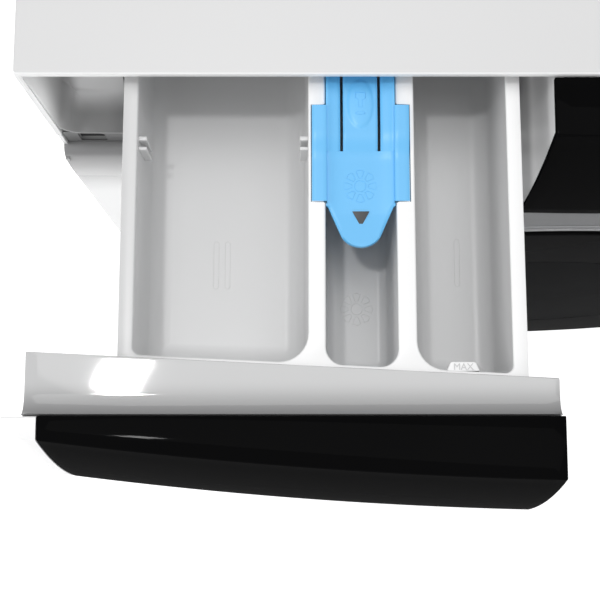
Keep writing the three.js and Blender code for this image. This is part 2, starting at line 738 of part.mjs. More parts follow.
function drawerTray() {
  const rear = 258;
  const outerFront = (x) => trayFront(x) - 6;
  const rim = slantedSlab(-248.7, -65.3, rear, outerFront, TRAY_RIM - 4.5, TRAY_RIM, 4);
  const body = slantedSlab(-245, -69, rear - 2, outerFront, TRAY_FLOOR - 4, TRAY_RIM - 3.5, 4);
  const pocket = (x0, x1, yRear, r) =>
    slantedSlab(x0, x1, yRear, trayFront, TRAY_FLOOR, TRAY_RIM + 5, r);
  const weir = (x0, x1) => box(x0, x1, rear - 10, rear + 5, 800, TRAY_RIM + 5);
  const tongue = (x) => box(x, x + 14, 3.4, 24, 800, 828); // where the front clips on
  const [wingFront, wingRear] = [DRAWER_TRAVEL - 56.4, DRAWER_TRAVEL - 10];
  const wings = [-161.9, -123.3].map((x) =>
    box(x, x + 7.1, wingFront, wingRear, CAP_Z - 0.3, TRAY_RIM + 7));
  return cut(
    join(rim, body, tongue(-220), tongue(-110)),
    pocket(-241.8, -163.3, rear - 7, 12),
    pocket(-155.5, -123, rear - 50, 8),
    pocket(-114.6, -72, rear - 7, 12),
    weir(-241, -164),
    weir(-114, -73),
    ...wings,
  );
}

// The white body: a shelf over the tray's front edge, a step up to the worktop's level, a front that
// carries the black fascia, and the round end at the left.
function drawerFrontBody() {
  const inset = SKIN + GAP;
  const under = CONSOLE_TOP - SKIN - GAP;
  const block = loft(stations(DRAWER_LEFT - 0.6, DRAWER_RIGHT - 1, 10), (x) => [
    [shelfBack(x), SHELF_TOP], [7, SHELF_TOP], [3, 841.9], [0.6, 843], [-0.6, under],
    ...face(x, inset, under, CONSOLE_BOTTOM + 1),
    [3, CONSOLE_BOTTOM + 1], [3, 832], [6, SHELF_UNDER], [shelfBack(x), SHELF_UNDER],
  ]);
  const shelfEnd = box(-288.9, DRAWER_LEFT, 3, 28.3, SHELF_UNDER, SHELF_TOP);
  const roundEnd = loft([-HALF + 0.2, -HALF + 2, -HALF + 5.5, -HALF + 10.5, DRAWER_LEFT - 0.4], (x) => [
    [-0.6, CONSOLE_TOP], ...face(x, 0), [-0.6, CONSOLE_BOTTOM],
  ]);
  const bridge = box(-289, DRAWER_LEFT, -2, 6, 800, SHELF_TOP);
  const grip = box(-208, -122, -30, -3, 750, 792);
  const lightening = [[-276, -214], [-116, -58]].map(([a, b]) => box(a, b, -16, 10, 770, 826));
  return cut(join(block, shelfEnd, roundEnd, bridge), grip, ...lightening);
}

// The cap over the softener's siphon: a plate with two wings that lie in the dividers, a nose that
// points at the fill opening, and the bell below. The press tongue lies between its two arms.
function siphonCap() {
  const y = (open) => DRAWER_TRAVEL + open;
  const shape = new THREE.Shape();
  const mirror = (points) => [...points, ...points.map(([x, v]) => [-x, v]).reverse()];
  const outline = mirror([
    [15.9, y(36)], [15.9, y(-10.5)], [22.3, y(-10.5)], [22.3, y(-56)], [15.9, y(-56)],
    [15.2, y(-59)], [9.4, y(-70)], [6.5, y(-75)], [2.6, y(-77.2)],
  ]);
  shape.setFromPoints(outline.map(([x, v]) => new THREE.Vector2(CAP_X + x, v)));
  const plate = prism('z', CAP_Z, CAP_Z + 3.2, shape);
  const bell = barZ(7, TRAY_FLOOR + 6, CAP_Z + 1, CAP_X, y(-47));
  const bore = barZ(4.4, TRAY_FLOOR, CAP_Z - 2, CAP_X, y(-47));
  return cut(join(plate, bell), bore, box(CAP_X - 9, CAP_X + 9, y(-32), y(40), CAP_Z - 5, CAP_Z + 9));
}
function releaseTab() {
  const y = (open) => DRAWER_TRAVEL + open;
  const tongue = box(CAP_X - 8, CAP_X + 8, y(-31.6), y(34), CAP_Z, CAP_Z + 3.2);
  const pad = new THREE.Shape();
  pad.absellipse(CAP_X, y(-10), 5.6, 10.6, 0, 2 * Math.PI);
  return join(tongue, prism('z', CAP_Z + 1, CAP_Z + 4, pad, 20));
}

// ---------------------------------------------------------------- controls, flap and feet

function programKnob() {
  const profile = [[0, -26], [4, -26], [4, 0.6], [27, 0.6], [28, 3], [26, 19], [23, 21.5], [0, 21.5]];
  return atKnob(profile, ROUND);
}
function startButton() {
  return atButton([[0, -3], [8.5, -3], [8.5, 1.6], [7, 2.4], [0, 2.4]], 24);
}

// The flap over the pump's filter, hinged along its lower edge.
function serviceFlap() {
  const panel = prism('y', FACE, FACE + SHEET, roundRect(154.6, 255.4, 41.6, 128.4, 3));
  const lip = box(190, 220, FACE + 1, FACE + 5, 112, 118);
  return join(panel, lip);
}

function filterCap() {
  const disc = barY(23.4, 0, 24, PUMP_X, PUMP_Z, 20);
  const handle = box(PUMP_X - 20, PUMP_X + 20, -3.4, 1, PUMP_Z - 3, PUMP_Z + 3);
  const basket = barY(14, 20, 70, PUMP_X, PUMP_Z, 10);
  return join(disc, handle, basket);
}

function foot(x, y) {
  return turnedUpright(
    [[0, 0], [20, 0], [22, 2], [22, 8], [12, 12], [12, 18], [5.6, 18], [5.6, 60], [0, 60]], x, y);
}

// ---------------------------------------------------------------- assembly

function part(group, name, body, material) {
  const mesh = body.getMesh();
  const geometry = new THREE.BufferGeometry();
  geometry.setAttribute('position', new THREE.BufferAttribute(mesh.vertProperties, 3));
  geometry.setIndex(new THREE.BufferAttribute(mesh.triVerts, 1));
  const piece = new THREE.Mesh(geometry, material);
  piece.name = name;
  group.add(piece);
  return piece;
}

function cabinet() {
  const group = new THREE.Group();
  part(group, 'left_side_panel', sidePanel(-1), WHITE);
  part(group, 'right_side_panel', sidePanel(1), WHITE);
  part(group, 'rear_panel', rearPanel(), GALVANISED);
  part(group, 'rear_cover', rearCover(), GALVANISED);
  part(group, 'front_panel', frontPanel(), WHITE);
  part(group, 'top_panel', topPanel(), WHITE);
  part(group, 'base_frame', baseFrame(), GREY);
  part(group, 'console_frame', consoleFrame(), PLASTIC);
  part(group, 'console_glass', consoleGlass(), BLACK);
  part(group, 'dispenser_housing', dispenserHousing(), PLASTIC);
  part(group, 'inlet_valve', inletValve(), PLASTIC);
  part(group, 'control_board', controlBoard(), COPPER);
  part(group, 'drain_pump', drainPump(), GREY);
  part(group, 'door_lock', doorLock(), GREY);
  part(group, 'hinge_bracket', hingeBracket(), STEEL);
  part(group, 'damper_body_left', damperBody(-1), GREY);
  part(group, 'damper_body_right', damperBody(1), GREY);
  part(group, 'door_gasket', doorGasket(), RUBBER);
  part(group, 'sump_hose', sumpHose(), RUBBER);
  part(group, 'cord_gland', cordGland(), RUBBER);
  part(group, 'program_knob', programKnob(), STEEL);
  part(group, 'start_button', startButton(), STEEL);
  part(group, 'service_flap', serviceFlap(), WHITE);
  part(group, 'filter_cap', filterCap(), GREY);
  const places = { front: FOOT_FRONT, rear: FOOT_BACK };
  for (const [end, y] of Object.entries(places)) {
    part(group, `foot_${end}_left`, foot(-FOOT_X, y), RUBBER);
    part(group, `foot_${end}_right`, foot(FOOT_X, y), RUBBER);
  }
  return group;
}

function tub() {
  const group = new THREE.Group();
  part(group, 'tub_front', tubFront(), GREY);
  part(group, 'tub_rear', tubRear(), GREY);
  part(group, 'top_counterweight', topCounterweight(), CONCRETE);
  part(group, 'front_counterweight', frontCounterweight(), CONCRETE);
  part(group, 'heater', heater(), STEEL);
  part(group, 'motor_body', motorBody(), GALVANISED);
  part(group, 'front_bearing', bearing(398), STEEL);
  part(group, 'rear_bearing', bearing(418), STEEL);
  part(group, 'damper_rod_left', damperRod(-1), STEEL);
  part(group, 'damper_rod_right', damperRod(1), STEEL);
  part(group, 'spring_left', spring(-1), STEEL);
  part(group, 'spring_right', spring(1), STEEL);
  part(group, 'drive_belt', driveBelt(), RUBBER);
  part(group, 'motor_pulley', motorPulley(), STEEL);
  return group;
}

function drum() {
  const group = new THREE.Group();
  part(group, 'drum_shell', drumShell(), STEEL);
  part(group, 'drum_shaft', drumShaft(), STEEL);
  const axis = new THREE.Group();
  axis.position.z = DOOR_Z;
  for (const i of [0, 1, 2]) lifter(i)(axis, `lifter_${i + 1}`);
  part(axis, 'drum_spider', drumSpider(), GALVANISED);
  part(axis, 'drum_pulley', drumPulley(), GALVANISED);
  group.add(axis);
  return group;
}

function door() {
  const group = new THREE.Group();
  part(group, 'door_rim', doorRim(), STEEL);
  part(group, 'door_front_glass', doorFrontGlass(), BLACK);
  part(group, 'door_bowl', doorBowl(), GLASS);
  part(group, 'door_inner_ring', doorInnerRing(), PLASTIC);
  part(group, 'door_hinge_arm', doorHingeArm(), STEEL);
  part(group, 'door_latch', doorLatch(), GREY);
  return group;
}

function drawer() {
  const group = new THREE.Group();
  part(group, 'drawer_tray', drawerTray(), PLASTIC);
  part(group, 'drawer_front_body', drawerFrontBody(), PLASTIC);
  part(group, 'drawer_front_fascia', fascia(DRAWER_LEFT, DRAWER_RIGHT, -GAP), BLACK);
  part(group, 'siphon_cap', siphonCap(), BLUE);
  part(group, 'release_tab', releaseTab(), BLUE);
  group.position.y = -DRAWER_TRAVEL;
  return group;
}

const washingMachine = new THREE.Group();
washingMachine.add(cabinet(), tub(), drum(), door(), drawer());
const bounds = new THREE.Box3().setFromObject(washingMachine, true);
washingMachine.position.y = -(bounds.min.y + bounds.max.y) / 2;

export default washingMachine;
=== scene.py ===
import bpy
import bmesh
from math import acos, atan2, cos, pi, radians, sin, sqrt, tan
from mathutils import Euler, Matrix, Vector


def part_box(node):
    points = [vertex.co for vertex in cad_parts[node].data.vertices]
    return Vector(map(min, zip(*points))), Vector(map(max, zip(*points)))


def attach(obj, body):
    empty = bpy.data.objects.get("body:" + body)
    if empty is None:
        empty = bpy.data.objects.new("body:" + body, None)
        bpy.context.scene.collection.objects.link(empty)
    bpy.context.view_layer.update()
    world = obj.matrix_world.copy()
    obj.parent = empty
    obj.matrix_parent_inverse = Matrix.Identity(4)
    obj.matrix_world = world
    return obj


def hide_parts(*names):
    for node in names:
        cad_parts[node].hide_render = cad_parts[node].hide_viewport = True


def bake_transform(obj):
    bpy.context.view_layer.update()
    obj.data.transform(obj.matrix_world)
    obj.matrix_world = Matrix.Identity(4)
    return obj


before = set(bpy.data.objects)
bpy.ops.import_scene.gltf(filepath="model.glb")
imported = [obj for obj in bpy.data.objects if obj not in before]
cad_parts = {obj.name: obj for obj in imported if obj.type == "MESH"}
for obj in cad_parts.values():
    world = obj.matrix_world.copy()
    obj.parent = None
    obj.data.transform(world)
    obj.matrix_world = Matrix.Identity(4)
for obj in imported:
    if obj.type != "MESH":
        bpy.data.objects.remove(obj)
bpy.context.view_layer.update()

# ---- measures
# Sizes are in millimetres, in the part's own layout: x = 0 is the middle, y = 0 is the worktop's front
# edge and z = 0 is the floor. P() turns such a point into a place in the row frame, in metres.

MM = 0.001
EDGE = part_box("top_panel")[0].y / MM
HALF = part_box("top_panel")[1].x / MM
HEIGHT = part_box("top_panel")[1].z / MM


def P(x, y, z):
    return Vector((x, y + EDGE, z)) * MM


def extent(node):
    """A CAD node's box as x0, x1, y0, y1, z0, z1 in the part's layout."""
    lo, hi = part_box(node)
    return lo.x / MM, hi.x / MM, lo.y / MM - EDGE, hi.y / MM - EDGE, lo.z / MM, hi.z / MM


TRAVEL = 153.6
CONSOLE_TOP = 846.0
CONSOLE_BOTTOM = 762.0
LEAN = 15.4
BULGE = 2.4
BOW_DEPTH = 28.5
BOW_RATE = 2.213e-4
CORNER = 15.5
DOOR_Z = (extent("door_front_glass")[4] + extent("door_front_glass")[5]) / 2
DOOR_R = extent("door_front_glass")[1]
KNOB_X, START_X, DISPLAY_X = 42, 255, 129.5
SHELF_TOP = 841.5
LAMP_GLINT = (-245.5, -134.5)
CAMERA = (-167.1, -177.2, HEIGHT + 470)
CAMERA_TILT = 8.9
CAMERA_LENS = 65.16
SOFT_EDGE = 0.5


def bow(x):
    """How far the console's top edge stands in front of the worktop's edge at x."""
    flat = HALF - CORNER
    over = min(max((abs(x) - flat) / CORNER, 0.0), 0.995)
    reach = BOW_DEPTH - BOW_RATE * min(abs(x), flat) ** 2
    return reach * sqrt(1 - over * over)


def face_point(x, t, inset=0.0, top=CONSOLE_TOP, bottom=CONSOLE_BOTTOM):
    """A point (y, z) on the console's face, t from 0 at its top edge to 1 at its lower edge."""
    lean = LEAN * min(1.0, bow(x) / 10)
    out = bow(x) + lean * t + 4 * BULGE * t * (1 - t)
    return -out + inset, top + (bottom - top) * t


# ---- outlines

def rounded(corners, steps=5):
    """A closed outline from (u, v, radius) corners, each one rounded by an arc."""
    points = []
    count = len(corners)
    for i, (u, v, r) in enumerate(corners):
        p = Vector((u, v))
        if r <= 0:
            points.append(p)
            continue
        a = (Vector(corners[i - 1][:2]) - p).normalized()
        b = (Vector(corners[(i + 1) % count][:2]) - p).normalized()
        half = acos(max(-1.0, min(1.0, a.dot(b)))) / 2
        middle = p + (a + b).normalized() * (r / sin(half))
        start = p + a * (r / tan(half)) - middle
        end = p + b * (r / tan(half)) - middle
        a0 = atan2(start.y, start.x)
        turn = atan2(end.y, end.x) - a0
        turn = (turn + pi) % (2 * pi) - pi
        for k in range(steps + 1):
            angle = a0 + turn * k / steps
            points.append(middle + Vector((cos(angle), sin(angle))) * r)
    return points


def points_of(*pairs):
    return [Vector(pair) for pair in pairs]


def area(points):
    return sum(a.x * b.y - b.x * a.y for a, b in zip(points, points[1:] + points[:1])) / 2


def inset(points, distance):
    """Moves a closed outline inwards by a distance, or outwards by a negative one."""
    sign = 1 if area(points) > 0 else -1
    moved = []
    for i, p in enumerate(points):
        e1 = p - points[i - 1]
        e2 = points[(i + 1) % len(points)] - p
        n1 = Vector((-e1.y, e1.x)).normalized()
        n2 = Vector((-e2.y, e2.x)).normalized()
        m = (n1 + n2).normalized()
        moved.append(p + m * (sign * distance / max(0.6, m.dot(n1))))
    return moved


def shrunk(corners, distance):
    """The same outline's corners moved inwards, with their radii reduced to match."""
    moved = inset([Vector(c[:2]) for c in corners], distance)
    return [(p.x, p.y, max(c[2] - distance, 0.4)) for p, c in zip(moved, corners)]


def rectangle(u0, u1, v0, v1, r, steps=5):
    return rounded([(u0, v0, r), (u1, v0, r), (u1, v1, r), (u0, v1, r)], steps)


def circle(u, v, r, count=24):
    return [
        Vector((u + r * cos(2 * pi * k / count), v + r * sin(2 * pi * k / count)))
        for k in range(count)
    ]


# ---- mesh building

def bridge(bm, a, b, close=True):
    """Quads between two loops of vertices."""
    for k in range(len(a) if close else len(a) - 1):
        n = (k + 1) % len(a)
        bm.faces.new((a[k], a[n], b[n], b[k]))


def rings(bm, loops, close=True, cap_first=True, cap_last=True):
    """Joins loops of points by quads, and caps the first and the last one."""
    made = [[bm.verts.new(p) for p in loop] for loop in loops]
    for a, b in zip(made, made[1:]):
        bridge(bm, a, b, close)
    if cap_first:
        bm.faces.new(made[0][::-1])
    if cap_last:
        bm.faces.new(made[-1])
    return made


def lift(axis):
    """How an outline's (u, v) and a depth become a place: 'z' takes (x, y), and 'y' takes (x, z)."""
    return {"z": lambda p, d: P(p.x, p.y, d), "y": lambda p, d: P(p.x, d, p.y)}[axis]


def slab(bm, axis, outline, low, high, r_low=0.0, r_high=0.0, steps=3):
    """An outline made into a plate along an axis, with its edges rounded at either end."""
    place = lift(axis)
    turns = [pi / 2 * k / steps for k in range(steps + 1)]
    levels = [(low, 0.0)]
    if r_low > 0:
        levels = [(low + r_low - r_low * cos(a), r_low * (1 - sin(a))) for a in turns]
    if r_high > 0:
        levels += [(high - r_high + r_high * sin(a), r_high * (1 - cos(a))) for a in turns]
    else:
        levels.append((high, 0.0))
    rings(bm, [[place(p, d) for p in inset(outline, i)] for d, i in levels])


def block(bm, x0, x1, y0, y1, z0, z1, r=0.6, steps=3):
    slab(bm, "z", rectangle(x0, x1, y0, y1, max(r, 0.05), steps), z0, z1, r, r, steps)


def loft(bm, x0, x1, section, count=24, r=0.3):
    """A solid whose (y, z) section changes along x, with the edges of its two ends rounded."""
    stations = [(x0, r), (x0 + r * 0.3, r * 0.3), (x0 + r, 0.0)] if r else [(x0, 0.0)]
    stations += [(x0 + (x1 - x0) * k / count, 0.0) for k in range(1, count)]
    stations += [(x1 - r, 0.0), (x1 - r * 0.3, r * 0.3), (x1, r)] if r else [(x1, 0.0)]
    rings(bm, [[P(x, p.x, p.y) for p in inset(section(x), i)]
               for x, i in stations])


def turned(bm, profile, x=0.0, z=None, count=96, axis="y", y=0.0):
    """A profile of (radius, depth) points turned about an axis; a ring's is a closed outline."""
    z = DOOR_Z if z is None else z
    on_axis = profile[0][0] < 1e-6

    def place(r, d, a):
        if axis == "y":
            return P(x + r * cos(a), d, z + r * sin(a))
        return P(x + r * cos(a), y + r * sin(a), d)

    angles = [2 * pi * k / count for k in range(count)]
    if on_axis:
        body = profile[1:-1]
        first = bm.verts.new(place(0, profile[0][1], 0))
        last = bm.verts.new(place(0, profile[-1][1], 0))
        made = rings(bm, [[place(r, d, a) for a in angles] for r, d in body], True, False, False)
        for k in range(count):
            n = (k + 1) % count
            bm.faces.new((first, made[0][n], made[0][k]))
            bm.faces.new((last, made[-1][k], made[-1][n]))
    else:
        made = [[bm.verts.new(place(r, d, a)) for a in angles] for r, d in profile]
        for a, b in zip(made, made[1:] + made[:1]):
            bridge(bm, a, b)


def tube(bm, points, r, sides=10):
    """A round bar along a list of places in metres, with its radius in millimetres."""
    loops = []
    up = Vector((0.13, 0.21, 0.97)).normalized()
    for i, p in enumerate(points):
        ahead = points[min(i + 1, len(points) - 1)]
        behind = points[max(i - 1, 0)]
        t = (ahead - behind).normalized()
        side = up.cross(t).normalized()
        up = t.cross(side).normalized()
        loops.append([p + (side * cos(2 * pi * k / sides)
                           + up * sin(2 * pi * k / sides)) * r * MM for k in range(sides)])
    rings(bm, loops)


def ridge(bm, points, width, height, z, closed=True, sink=0.15):
    """A thin raised line along points (x, y) on a level surface, as on a moulded mark."""
    n = len(points)
    left, right, top = [], [], []
    for i, p in enumerate(points):
        a = points[i - 1] if closed or i > 0 else p
        b = points[(i + 1) % n] if closed or i < n - 1 else p
        t = (b - a).normalized()
        m = Vector((-t.y, t.x)) * width / 2
        left.append(P(p.x + m.x, p.y + m.y, z - sink))
        right.append(P(p.x - m.x, p.y - m.y, z - sink))
        top.append(P(p.x, p.y, z + height))
    verts = [[bm.verts.new(q) for q in line] for line in (left, top, right)]
    count = n if closed else n - 1
    for i in range(count):
        k = (i + 1) % n
        for a, b in ((0, 1), (1, 2), (2, 0)):
            bm.faces.new((verts[a][i], verts[a][k], verts[b][k], verts[b][i]))
    if not closed:
        bm.faces.new([line[0] for line in verts])
        bm.faces.new([line[-1] for line in verts][::-1])


def solid(shape, *measures, **details):
    """A new mesh with one shape in it."""
    bm = bmesh.new()
    shape(bm, *measures, **details)
    return bm


def plain_object(name, bm):
    bmesh.ops.remove_doubles(bm, verts=bm.verts, dist=1e-7)
    bmesh.ops.recalc_face_normals(bm, faces=bm.faces)
    mesh = bpy.data.meshes.new(name)
    bm.to_mesh(mesh)
    bm.free()
    obj = bpy.data.objects.new(name, mesh)
    bpy.context.scene.collection.objects.link(obj)
    return obj


def piece(name, bm, material, body, *nodes, sharp=32.0, split=None, second=None):
    """Makes a mesh object of a bmesh, smooth but for its sharp edges, on a body, in place of CAD nodes.

    split(polygon) is 1 where the second material goes, and 0 elsewhere.
    """
    obj = plain_object(name, bm)
    mesh = obj.data
    mesh.materials.append(material)
    if second:
        mesh.materials.append(second)
    mesh.shade_smooth()
    mesh.set_sharp_from_angle(angle=radians(sharp))
    if split:
        for polygon in mesh.polygons:
            polygon.material_index = split(polygon)
    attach(obj, body)
    if nodes:
        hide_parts(*nodes)
    return obj


def lettering(name, text, size, place, turn, material, body, depth=0.18):
    """A short mark in raised letters, lying on a level surface."""
    curve = bpy.data.curves.new(name + "_outline", "FONT")
    curve.body = text
    curve.size = size * MM
    curve.extrude = depth * MM
    curve.align_x = "CENTER"
    curve.align_y = "CENTER"
    carrier = bpy.data.objects.new(name + "_outline", curve)
    bpy.context.scene.collection.objects.link(carrier)
    bpy.context.view_layer.update()
    shape = bpy.context.evaluated_depsgraph_get()
    mesh = bpy.data.meshes.new_from_object(carrier.evaluated_get(shape))
    bpy.data.objects.remove(carrier)
    bm = bmesh.new()
    bm.from_mesh(mesh)
    bpy.data.meshes.remove(mesh)
    bmesh.ops.rotate(bm, verts=bm.verts, cent=(0, 0, 0), matrix=turn)
    bmesh.ops.translate(bm, verts=bm.verts, vec=place)
    piece(name, bm, material, body)


# ---- materials

def nodes_of(name):
    material = bpy.data.materials.new(name)
    material.use_nodes = True
    tree = material.node_tree
    return material, tree, tree.nodes["Principled BSDF"]


def set_constants(shader, **values):
    for key, value in values.items():
        shader.inputs[key.replace("_", " ")].default_value = value


def dress(tree, shader, colour, roughness):
    tree.links.new(colour, shader.inputs["Base Color"])
    tree.links.new(roughness, shader.inputs["Roughness"])


def noise(tree, scale, detail=3.0, stretch=None, rough=0.5):
    """A noise in the piece's own coordinates, in metres, stretched along its axes if asked."""
    where = tree.nodes.new("ShaderNodeTexCoord")
    mapping = tree.nodes.new("ShaderNodeMapping")
    mapping.inputs["Scale"].default_value = stretch or (1, 1, 1)
    texture = tree.nodes.new("ShaderNodeTexNoise")
    texture.inputs["Scale"].default_value = scale
    texture.inputs["Detail"].default_value = detail
    texture.inputs["Roughness"].default_value = rough
    tree.links.new(where.outputs["Object"], mapping.inputs["Vector"])
    tree.links.new(mapping.outputs["Vector"], texture.inputs["Vector"])
    return texture


def ramp(tree, source, low, high, a=0.35, b=0.65):
    node = tree.nodes.new("ShaderNodeValToRGB")
    node.color_ramp.elements[0].position = a
    node.color_ramp.elements[1].position = b
    node.color_ramp.elements[0].color = low
    node.color_ramp.elements[1].color = high
    tree.links.new(source, node.inputs["Fac"])
    return node.outputs["Color"]


def span(tree, source, low, high):
    node = tree.nodes.new("ShaderNodeMapRange")
    node.inputs["To Min"].default_value = low
    node.inputs["To Max"].default_value = high
    tree.links.new(source, node.inputs["Value"])
    return node.outputs["Result"]


def bump(tree, shader, source, strength, distance):
    node = tree.nodes.new("ShaderNodeBump")
    node.inputs["Strength"].default_value = strength
    node.inputs["Distance"].default_value = distance
    tree.links.new(source, node.inputs["Height"])
    tree.links.new(node.outputs["Normal"], shader.inputs["Normal"])


def shade(colour, factor):
    return tuple(min(1.0, c * factor) for c in colour) + (1.0,)


def moulded(name, colour, roughness, grain=900.0, depth=0.00002, strength=0.25, vary=0.04, spread=0.06,
            stretch=None, **constants):
    """A finish whose colour drifts a little, and whose fine grain shows in gloss and relief."""
    material, tree, shader = nodes_of(name)
    broad = noise(tree, 9.0, 2.0)
    fine = noise(tree, grain, 4.0, stretch)
    dress(tree, shader,
          ramp(tree, broad.outputs["Fac"], shade(colour, 1 - vary), shade(colour, 1 + vary)),
          span(tree, fine.outputs["Fac"], roughness - spread / 2, roughness + spread / 2))
    bump(tree, shader, fine.outputs["Fac"], strength, depth)
    set_constants(shader, **constants)
    return material


def along(tree, axis, a, b):
    """A smooth step from 0 at a to 1 at b along an axis, where a and b are in millimetres."""
    component = "XYZ".index(axis)
    where = tree.nodes.new("ShaderNodeTexCoord")
    split = tree.nodes.new("ShaderNodeSeparateXYZ")
    reach = tree.nodes.new("ShaderNodeMapRange")
    reach.interpolation_type = "SMOOTHSTEP"
    reach.inputs["From Min"].default_value = P(a, a, a)[component]
    reach.inputs["From Max"].default_value = P(b, b, b)[component]
    tree.links.new(where.outputs["Object"], split.inputs["Vector"])
    tree.links.new(split.outputs[axis], reach.inputs["Value"])
    return reach.outputs["Result"]


def shaded_along(name, low, high, a, b, roughness, axis="Y", grain=0.0):
    """A glossy moulding with painted shade: toned from low at a to high at b along an axis."""
    material, tree, shader = nodes_of(name)
    fine = noise(tree, 1700.0, 4.0)
    dress(tree, shader, ramp(tree, along(tree, axis, a, b), low + (1.0,), high + (1.0,), 0.0, 1.0),
          span(tree, fine.outputs["Fac"], roughness, roughness + 0.02))
    if grain:
        bump(tree, shader, fine.outputs["Fac"], grain, 0.00001)
    return material


def niche_painted_shade(name, dark, light):
    """The niche's painted shade: its side wall darkens towards the corner and downwards, its back
    towards the floor.
    """
    material, tree, shader = nodes_of(name)
    side = tree.nodes.new("ShaderNodeMath")
    side.operation = "MULTIPLY"
    tree.links.new(along(tree, "Y", 25, 3), side.inputs[0])
    tree.links.new(along(tree, "Z", 762, 812), side.inputs[1])
    blend = tree.nodes.new("ShaderNodeMix")
    tree.links.new(along(tree, "X", -294, -284), blend.inputs["Factor"])
    tree.links.new(side.outputs["Value"], blend.inputs["A"])
    tree.links.new(along(tree, "Y", 11, 26), blend.inputs["B"])
    fine = noise(tree, 1500.0, 4.0)
    dress(tree, shader, ramp(tree, blend.outputs["Result"], dark + (1.0,), light + (1.0,), 0.0, 1.0),
          span(tree, fine.outputs["Fac"], 0.3, 0.36))
    bump(tree, shader, fine.outputs["Fac"], 0.2, 0.000012)
    return material


def glazed(name, colour, roughness, transmission, **constants):
    material, tree, shader = nodes_of(name)
    streak = noise(tree, 14.0, 3.0)
    dress(tree, shader, ramp(tree, streak.outputs["Fac"], shade(colour, 0.97), shade(colour, 1.0)),
          span(tree, streak.outputs["Fac"], roughness, roughness + 0.04))
    set_constants(shader, Transmission_Weight=transmission, **constants)
    return material


def spangled(name, colour):
    """Zinc coated sheet: small crystals of slightly different greys."""
    material, tree, shader = nodes_of(name)
    where = tree.nodes.new("ShaderNodeTexCoord")
    cells = tree.nodes.new("ShaderNodeTexVoronoi")
    cells.inputs["Scale"].default_value = 120.0
    tree.links.new(where.outputs["Object"], cells.inputs["Vector"])
    grey = tree.nodes.new("ShaderNodeRGBToBW")
    tree.links.new(cells.outputs["Color"], grey.inputs["Color"])
    dress(tree, shader,
          ramp(tree, grey.outputs["Val"], shade(colour, 0.86), shade(colour, 1.12), 0.2, 0.8),
          span(tree, grey.outputs["Val"], 0.34, 0.5))
    bump(tree, shader, noise(tree, 60.0).outputs["Fac"], 0.15, 0.0002)
    set_constants(shader, Metallic=0.85)
    return material


def speckled(name, colour, dark, roughness):
    """Cast concrete: pores and grains in an uneven grey."""
    material, tree, shader = nodes_of(name)
    broad = noise(tree, 60.0, 8.0, rough=0.7)
    dress(tree, shader, ramp(tree, broad.outputs["Fac"], dark + (1.0,), colour + (1.0,), 0.3, 0.6),
          span(tree, broad.outputs["Fac"], roughness - 0.1, roughness))
    bump(tree, shader, noise(tree, 400.0, 6.0).outputs["Fac"], 0.6, 0.0008)
    return material


WORKTOP = moulded("worktop_laminate", (0.685, 0.685, 0.688), 0.42, 1400.0, 0.00001, 0.2, 0.006)
ENAMEL = moulded("white_enamel", (0.86, 0.865, 0.87), 0.22, 260.0, 0.00003, 0.12, 0.008,
        Coat_Weight=0.4, Coat_Roughness=0.12)
WHITE = moulded("white_moulding", (0.93, 0.931, 0.934), 0.34, 1500.0, 0.000012, 0.2, 0.008)
# The tray's inside: a darker copy of the rim's plastic, darkening further towards the right: painted
# shade.
TRAY_PAINTED_SHADE = shaded_along("tray_moulding_painted_shade", (0.70, 0.702, 0.705), (0.63, 0.632, 0.635),
                    -190, -90, 0.33, "X", 0.2)
# The tray's rim: the lit copy of the tray's plastic, darkened towards its left end: painted shade.
RIM_PAINTED_SHADE = shaded_along("tray_rim_painted_shade", (0.59, 0.592, 0.595), (0.92, 0.921, 0.923),
                          -262, -190, 0.33, "X", 0.2)
# The niche's white moulding with painted shade in its corner and towards its floor.
NICHE_PAINTED_SHADE = niche_painted_shade("niche_moulding_painted_shade", (0.36, 0.361, 0.363), (0.95, 0.951, 0.954))
# The console frame's white moulding darkens below 800 mm, beside the tray: painted shade.
FRAME_PAINTED_SHADE = shaded_along("console_moulding_painted_shade", (0.46, 0.462, 0.465), (0.93, 0.931, 0.934),
                     782, 800, 0.33, "Z", 0.2)
BAR = moulded("cross_bar_moulding", (0.13, 0.131, 0.133), 0.34, 1500.0, 0.000012, 0.2, 0.01)
# A near-black plate behind the cross bar's opening: painted shade inside the pocket.
POCKET_PAINTED_SHADE = moulded("pocket_painted_shade", (0.045, 0.0455, 0.046), 0.5, 1500.0, 0.000012, 0.2, 0.03)
# The white sheet front darkens towards its top edge, under the console and the drawer: painted shade.
FRONT_PAINTED_SHADE = shaded_along("front_enamel_painted_shade", (0.27, 0.271, 0.274), (0.86, 0.865, 0.87),
                     741, 662, 0.21, "Z", 0.1)
# The drawer's shelf: a darker copy of the white moulding, darker still towards its front riser: painted
# shade.
SHELF_PAINTED_SHADE = shaded_along("shelf_moulding_painted_shade", (0.27, 0.27, 0.272), (0.56, 0.562, 0.565),
                     -153.5, -138, 0.03)
BLUE = moulded("blue_moulding", (0.135, 0.50, 0.88), 0.34, 1500.0, 0.00001, 0.2, 0.03)
BLACK = moulded("black_gloss", (0.0034, 0.0034, 0.0036), 0.3, 2200.0, 0.000003, 0.06, 0.1, 0.03,
                Specular_IOR_Level=0.0, Coat_Weight=0.022, Coat_Roughness=0.04)
DISC = moulded("black_printed_glass", (0.0034, 0.0034, 0.0037), 0.3, 1200.0, 0.000002, 0.06, 0.1, 0.02,
               Specular_IOR_Level=0.0, Coat_Weight=0.035, Coat_Roughness=0.03)
